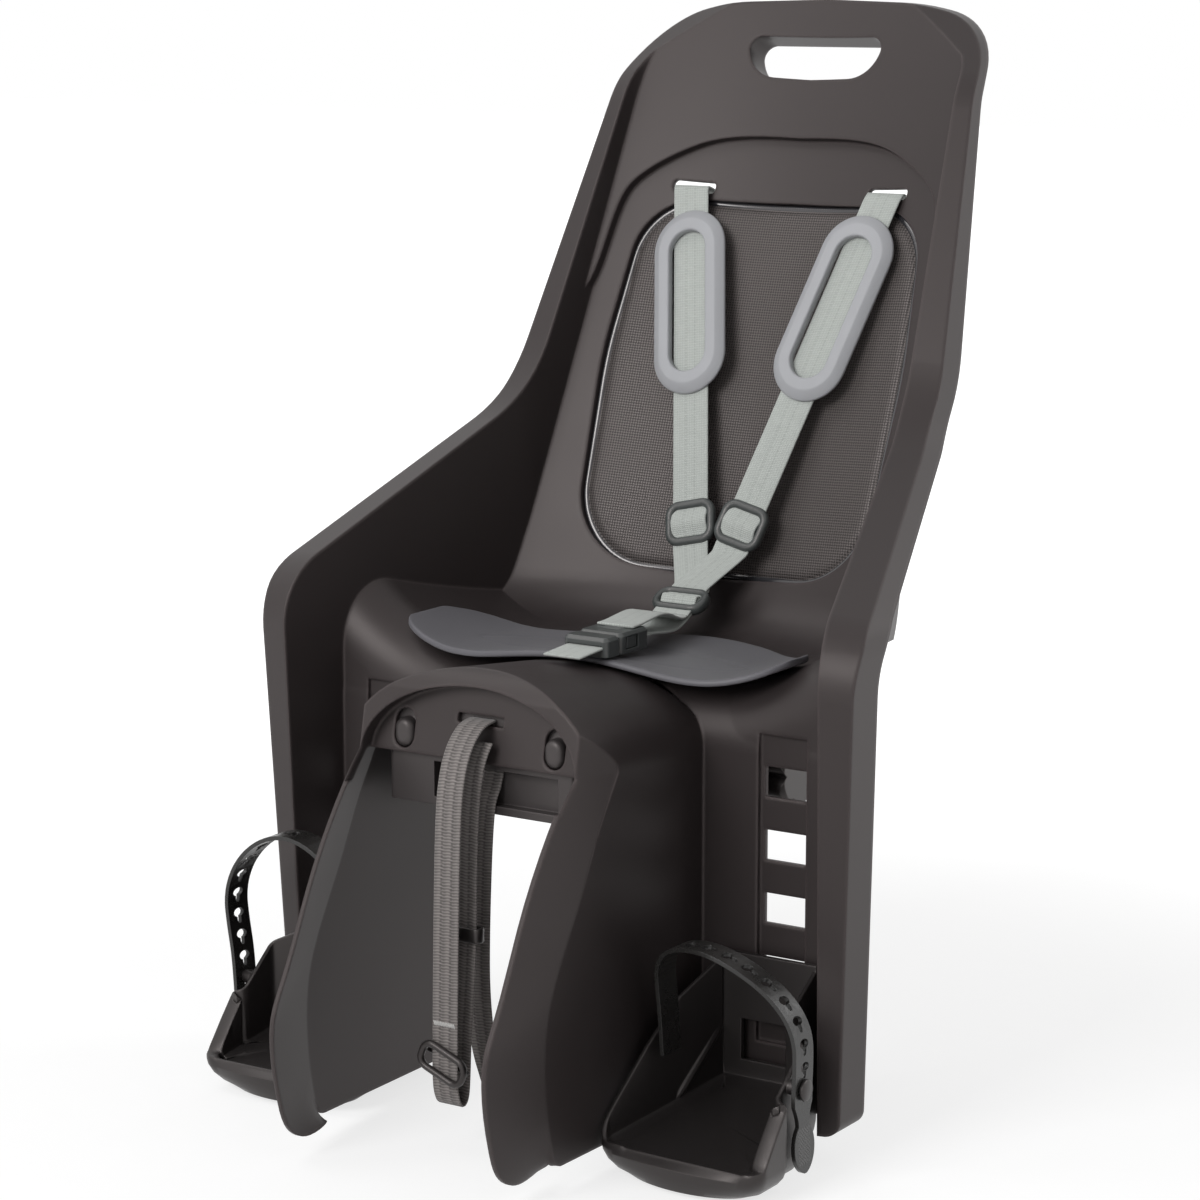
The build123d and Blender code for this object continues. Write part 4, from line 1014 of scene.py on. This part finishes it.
def tray_rings(spot, inward):
    """Points from the underside to the floor at one spot of the outline."""
    rim, lip = rim_height(spot), lip_width(spot)
    low = floor_height(spot.y)
    side = min(1.0, abs(spot.x - HULL_X) / HULL_HALF) ** 2
    belly = Vector((0, -BELLY * (1 - side) if spot.y < FRONT_Y else 0.0))
    rows = [(spot.lerp(TRAY_MIDDLE, base + more * side) + belly * (1 - base), z) for base, more, z in HULL]
    rows.append((spot + belly * 0.3, min(rim - 2.0, 9.0)))
    edge = ((0.0, rim - 1.0), (0.4, rim - 0.3), (1.1, rim), (lip - 0.9, rim), (lip - 0.3, rim - 0.3), (lip, rim - 1.0),
            (lip, min(rim - 1.1, low + 5)), (lip + 0.8, min(rim - 1.3, low + 1.6)),
            (lip + 3, min(rim - 1.5, low + 0.2)))
    rows += [(spot + inward * across, z) for across, z in edge]
    inner = [spot.lerp(TRAY_MIDDLE, share) for share in (0.3, 0.6, 0.85)]
    return [at(p.x, p.y, z) for p, z in rows + [(p, floor_height(p.y)) for p in inner]]


def tray():
    loop = corner_loop(TRAY_PLAN)
    n = len(loop)
    rings = []
    for i, spot in enumerate(loop):
        along = (loop[(i + 1) % n] - loop[i - 1]).normalized()
        rings.append(tray_rings(spot, Vector((-along.y, along.x))))
    m = len(rings[0])
    points = [p for ring in rings for p in ring]
    faces = grid_faces(n, m, wrap_rows=True, wrap_columns=False)
    points += [at(*TRAY_MIDDLE, z) for z in (TRAY_LOW, floor_height(TRAY_MIDDLE.y))]
    faces += [((i + 1) % n * m, i * m, n * m) for i in range(n)]
    faces += [(i * m + m - 1, (i + 1) % n * m + m - 1, n * m + 1) for i in range(n)]
    return points, faces


def back_frame():
    """Back wall with its window: two loops of corners on each of its faces."""
    corners = [at(x, y, z) for y in (WALL_FRONT, WALL_REAR) for x0, x1, z0, z1 in BACK_WINDOW
               for x, z in ((x0, z0), (x1, z0), (x1, z1), (x0, z1))]
    faces = []
    for k in range(4):
        a, b = k, (k + 1) % 4
        faces += [(a, b, b + 4, a + 4), (a + 8, b + 8, b + 12, a + 12), (a, b, b + 8, a + 8),
                  (a + 4, b + 4, b + 12, a + 12)]
    return corners, faces


def tongue():
    corners = [at(x, y, z) for x in TONGUE[0] for y in TONGUE[1] for z in TONGUE[2]]
    return corners, [(0, 1, 3, 2), (4, 5, 7, 6), (0, 1, 5, 4), (2, 3, 7, 6), (0, 2, 6, 4), (1, 3, 7, 5)]


def stud(count=20):
    y, z = STUD_AT
    turns = [2 * pi * k / count for k in range(count)]
    points = [at(x, y + r * cos(a), z + r * sin(a)) for x, r in STUD_TURN for a in turns]
    return points, grid_faces(len(STUD_TURN), count) + end_caps(len(STUD_TURN), count)


SHARP, GUSSET_LOW, GUSSET_TOP, GUSSET_R = 0.6, at(103.5, 136, 17), at(109.5, 182, 58), 0.0034
gusset = stick(GUSSET_LOW, GUSSET_TOP, GUSSET_R, 10)
gusset_part = ([v.co.copy() for v in gusset.vertices], [tuple(f.vertices) for f in gusset.polygons])
for name, side in SIDES:
    points, faces = join_meshes([tray(), back_frame(), tongue(), stud(), gusset_part])
    mesh = closed(mesh_of("tray", [(side * p[0], p[1], p[2]) for p in points], faces))
    rest = piece(f"foot_tray_{name}", mesh, black_plastic)
    mesh.set_sharp_from_angle(angle=SHARP)
    settle(rest, f"foot_{name}", f"footrest_{name}")
    print("footrest", name, len(mesh.polygons), "faces")

# %% [markdown]
# Each footrest has a strap of black rubber with a row of keyholes: a round head that passes over the stud, and a
# narrow stem that holds it. It ends in a pointed tab with small dimples for grip. The strap is drawn flat with its
# holes, given its thickness, and then bent over the foot. One keyhole cell is drawn, and the rule repeats it.

# %% Flat foot strap
FOOT_W, FOOT_T, HOLE_PITCH, HOLES = 0.020, 0.0026, 0.0140, 10
HEAD_R, HEAD_WIDE, STEM_W, STEM_L = 0.0029, 1.65, 0.0036, 0.0070
TAIL, CELL_SHIFT, OPEN_ANGLE = 0.0520, 0.0018, 0.40
EDGE_STOPS = (0.0060, 0.0018, -0.0025)
SIDE_ROWS = [-0.0100, -0.0085, -0.0060, -0.0030, 0.0, 0.0030, 0.0060, 0.0085, 0.0100]


def keyhole_outline():
    """Keyhole as points in turn order; its stem points along the strap, towards the tab."""
    turns = [-pi + OPEN_ANGLE + (2 * pi - 2 * OPEN_ANGLE) * k / 14 for k in range(15)]
    head = [(-HEAD_R * cos(a), -HEAD_R * HEAD_WIDE * sin(a)) for a in turns]
    stem = [(STEM_L * 0.75, -STEM_W / 2), (STEM_L, -STEM_W * 0.3), (STEM_L, STEM_W * 0.3), (STEM_L * 0.75, STEM_W / 2)]
    return head + stem


def keyhole_cell():
    """One cell of strap round a keyhole, filled with triangles between the hole and the cell's border."""
    hole = keyhole_outline()
    x0, x1, half = CELL_SHIFT - HOLE_PITCH / 2, CELL_SHIFT + HOLE_PITCH / 2, FOOT_W / 2
    border = [(x1, y) for y in SIDE_ROWS] + [(x, half) for x in EDGE_STOPS]
    border += [(x0, y) for y in reversed(SIDE_ROWS)] + [(x, -half) for x in reversed(EDGE_STOPS)]
    work = bmesh.new()
    inner = [work.verts.new((x, y, 0)) for x, y in hole]
    outer = [work.verts.new((x, y, 0)) for x, y in border]
    edges = [work.edges.new((ring[k - 1], ring[k])) for ring in (inner, outer) for k in range(len(ring))]
    bmesh.ops.triangle_fill(work, edges=edges, use_beauty=True)
    mesh = bpy.data.meshes.new("keyhole_cell")
    work.to_mesh(mesh)
    work.free()
    return mesh


def strap_grid(work, stops, width_at):
    """Plain strip of quads between stops along the strap, with a width at each."""
    rows = [[work.verts.new((x, y * width_at(x) / FOOT_W, 0)) for y in SIDE_ROWS] for x in stops]
    for low, high in zip(rows, rows[1:]):
        for k in range(len(SIDE_ROWS) - 1):
            work.faces.new((low[k], high[k], high[k + 1], low[k + 1]))


def tab_width(x, start, length):
    """Width of the end tab: a neck, an oval and a point."""
    t = (x - start) / length
    if t < 0.30:
        return FOOT_W * (1 - 0.42 * sin(pi * t / 0.6))
    away = min(abs(t - 0.62) / 0.385, 1.0)
    return max(FOOT_W * 1.14 * (1 - away ** 2) ** 0.60, 0.0006)


def flat_foot_strap(length):
    stud = length - TAIL
    first = stud - (HOLES - 1) * HOLE_PITCH
    cells = row_of.run("keyhole_cells", keyhole_cell(), Count=HOLES, Step=(HOLE_PITCH, 0.0, 0.0),
                       Finish=strap_rubber)
    work = bmesh.new()
    work.from_mesh(cells.data)
    bpy.data.objects.remove(cells)
    bmesh.ops.translate(work, verts=work.verts, vec=(first, 0, 0))
    root_end, tab_start = first - HOLE_PITCH / 2 + CELL_SHIFT, stud + HOLE_PITCH / 2 + CELL_SHIFT
    strap_grid(work, [root_end * k / 20 for k in range(21)], lambda x: FOOT_W)
    tab = length - tab_start
    strap_grid(work, [tab_start + tab * k / 36 for k in range(37)], lambda x: tab_width(x, tab_start, tab))
    bmesh.ops.remove_doubles(work, verts=work.verts, dist=0.00005)
    bmesh.ops.recalc_face_normals(work, faces=work.faces)
    mesh = bpy.data.meshes.new("flat_foot_strap")
    work.to_mesh(mesh)
    work.free()
    sheet = mesh.uv_layers.new(name="UVMap").data
    for loop in mesh.loops:
        x, y, z = mesh.vertices[loop.vertex_index].co
        sheet[loop.index].uv = (x - length, y)
    return mesh


def dimpled_rubber():
    finish = Finish("strap_rubber", specular_ior_level=0.5)
    u, v, _ = finish.split(finish.place("UV"))
    dots = lattice(u, v, 0.0052)
    inside = (u > -0.029) * (-1 * u > 0.006) * (0.0068 - v.size() > 0.0)
    dimple = finish.range(dots.size(), 0.0, 1.0, 0.45, 0.8) * inside
    cloud = finish.noise(finish.place(), 60.0, 3.0)
    fine = finish.noise(finish.place(), 1500.0, 1.0)
    # A random change of tone, lighter over the dimpled tab; near black in the dimples, painted shade in their hollows.
    rubber_tone = finish.blend(finish.range(cloud, 0.0, 1.0), grey(0.014, 0.04), grey(0.022, 0.05))
    rubber_tone = finish.blend(inside * 0.6, rubber_tone, grey(0.075, 0.04))
    finish.set("Base Color", finish.blend(dimple * 0.95, rubber_tone, grey(0.003)))
    finish.set("Roughness", finish.range(cloud * 0.7 + fine * 0.3, 0.20, 0.36))
    finish.set("Normal", finish.bump(fine * 0.15 - dimple, 0.0004, 0.8, finish.soft_edges(0.0006)))
    return finish.material


strap_rubber = dimpled_rubber()

# %% [markdown]
# The strap on the seat's left is pulled tight; the other one stands in a higher, looser bow.

# %% Foot straps over the feet
TIGHT_BOW = [(109.8, 122, 54), (109.8, 120, 75), (110, 116, 97), (112, 111, 113), (121, 107, 124), (137, 101, 129.5),
             (156, 97, 130), (175, 98, 123), (192, 102, 111.5), (203, 106.5, 97), (207.6, 109.5, 82), (207.5, 110, 66),
             (206.9, 110, 50), (206.8, 111, 32), (206.8, 112, 18), (206.8, 114, 0)]
LOOSE_BOW = [(-109.8, 122, 54), (-109.8, 120, 78), (-110.5, 115, 100), (-116, 111, 119), (-130, 110, 136),
             (-146, 109.5, 147.5), (-163, 110, 151.8), (-180, 110, 149), (-196, 110, 139), (-208, 110, 124),
             (-213.5, 110, 106), (-211.5, 110, 88), (-208.3, 110, 70), (-206.9, 110, 52), (-206.8, 111, 34),
             (-206.8, 112, 20), (-206.8, 114, 0)]
for name, bow in (("left", TIGHT_BOW), ("right", LOOSE_BOW)):
    line, length = line_through([at(*stop) for stop in bow])
    strap = laid(f"foot_rubber_{name}", flat_foot_strap(length), line, (0.0, 1.0, 0.0), strap_rubber, FOOT_T)
    closed(strap.data)
    strap.data.shade_flat()
    settle(strap, f"foot_{name}", f"foot_strap_{name}")
    print("foot strap", name, round(length * 1000), "mm,", len(strap.data.polygons), "faces")

# %% [markdown]
# The buckle's grip is a patch of fine ribs on the rear of its top. They are one rounded stick, repeated by the same
# rule as the bar tack.

# %% Buckle ribs
RIB_L, RIB_R, RIB_PITCH, RIBS = 0.017, 0.0007, 0.0017, 9
rib_start = BUCKLE + Vector((-RIB_L / 2, -0.0035, BUCKLE_T / 2 - 0.0001))
ribs = row_of.run("buckle_ribs", stick(rib_start, rib_start + Vector((RIB_L, 0.0, 0.0)), RIB_R, 8), Count=RIBS,
                  Step=(0.0, RIB_PITCH, 0.0), Finish=slate_plastic)
settle(ribs, "seat")
print("buckle ribs:", len(ribs.data.polygons), "faces")

# %% [markdown]
# The studio is plain: a white surround that the camera and mirror-like rays see, a dimmer, even light on the
# object, and soft lamps for the sheen along the rims.

# %% Light
SOFT_AIR, SEEN_AIR = 0.36, 1.0
SEEN_WHITE = ("Is Glossy Ray", "Is Transmission Ray")
world = bpy.data.worlds.new("studio")
bpy.context.scene.world = world
world.use_nodes = True
air = world.node_tree
paths = air.nodes.new("ShaderNodeLightPath").outputs
seen = paths["Is Camera Ray"]
for kind in SEEN_WHITE:
    larger = air.nodes.new("ShaderNodeMath")
    larger.operation = "MAXIMUM"
    air.links.new(seen, larger.inputs[0])
    air.links.new(paths[kind], larger.inputs[1])
    seen = larger.outputs[0]
choice = air.nodes.new("ShaderNodeMixShader")
air.links.new(seen, choice.inputs[0])
for k, strength in enumerate((SOFT_AIR, SEEN_AIR)):
    light = air.nodes.new("ShaderNodeBackground")
    light.inputs["Color"].default_value = (1.0, 1.0, 1.0, 1.0)
    light.inputs["Strength"].default_value = strength
    air.links.new(light.outputs[0], choice.inputs[k + 1])
air.links.new(choice.outputs[0], air.nodes["World Output"].inputs["Surface"])


def lamp(name, where, aim, size, power):
    light = bpy.data.lights.new(name, "AREA")
    light.size = size
    light.energy = power
    obj = bpy.data.objects.new(name, light)
    obj.location = where
    obj.rotation_euler = (aim - where).to_track_quat("-Z", "Y").to_euler()
    bpy.context.scene.collection.objects.link(obj)


middle = (cad_box[0] + cad_box[1]) / 2
lamp("front_softbox", middle + Vector((-0.15, -0.86, 0.47)) * 3.0, middle, 1.4, 50.0)
lamp("top_softbox", middle + Vector((-1.3, -0.7, 2.1)), middle, 1.0, 8.0)
lamp("side_softbox", middle + Vector((1.7, 1.2, 0.8)), middle, 1.0, 13.0)
print("lamps round", [round(v, 3) for v in middle])

# %% [markdown]
# The floor is white paper. The camera and mirror-like rays see most of it as plain white, so that it stays white in
# the picture, and a share of real paper keeps the object's soft shadow close to it.

# %% Floor
FLOOR_HALF, FLOOR_GAP, PAPER_GLOW = 12.0, 0.0005, 1.3
floor_z = cad_box[0].z - FLOOR_GAP
corners = [(sx * FLOOR_HALF, sy * FLOOR_HALF, floor_z) for sx, sy in ((-1, -1), (1, -1), (1, 1), (-1, 1))]
floor = piece("floor", mesh_of("floor", corners, [(0, 1, 2, 3)]))
paper = Finish("white_paper", roughness=0.9, specular_ior_level=0.1)
spread = paper.node("ShaderNodeVectorMath", {"operation": "LENGTH"}, {0: paper.place()}, 1)
fade = paper.node("ShaderNodeMapRange", {"interpolation_type": "SMOOTHSTEP"},
                  {0: spread, 1: 0.45, 2: 1.3, 3: 0.55, 4: 1.0})
paper.set("Base Color", paper.blend(paper.noise(paper.place(), 40.0), grey(0.80), grey(0.84)))
rays = paper.tree.nodes.new("ShaderNodeLightPath")
plain = Wire(paper, rays.outputs["Is Camera Ray"])
for kind in SEEN_WHITE:
    plain = plain.math("MAXIMUM", plain, Wire(paper, rays.outputs[kind]))
glow = paper.node("ShaderNodeEmission", None, {"Color": grey(1.0), "Strength": PAPER_GLOW})
real_paper = Wire(paper, paper.shader.outputs[0])
seen_floor = paper.node("ShaderNodeMixShader", None, {0: plain * fade, 1: real_paper, 2: glow})
paper.feed(paper.tree.nodes["Material Output"].inputs["Surface"], seen_floor)
floor.data.materials.append(paper.material)
print("floor at", round(floor_z, 4))
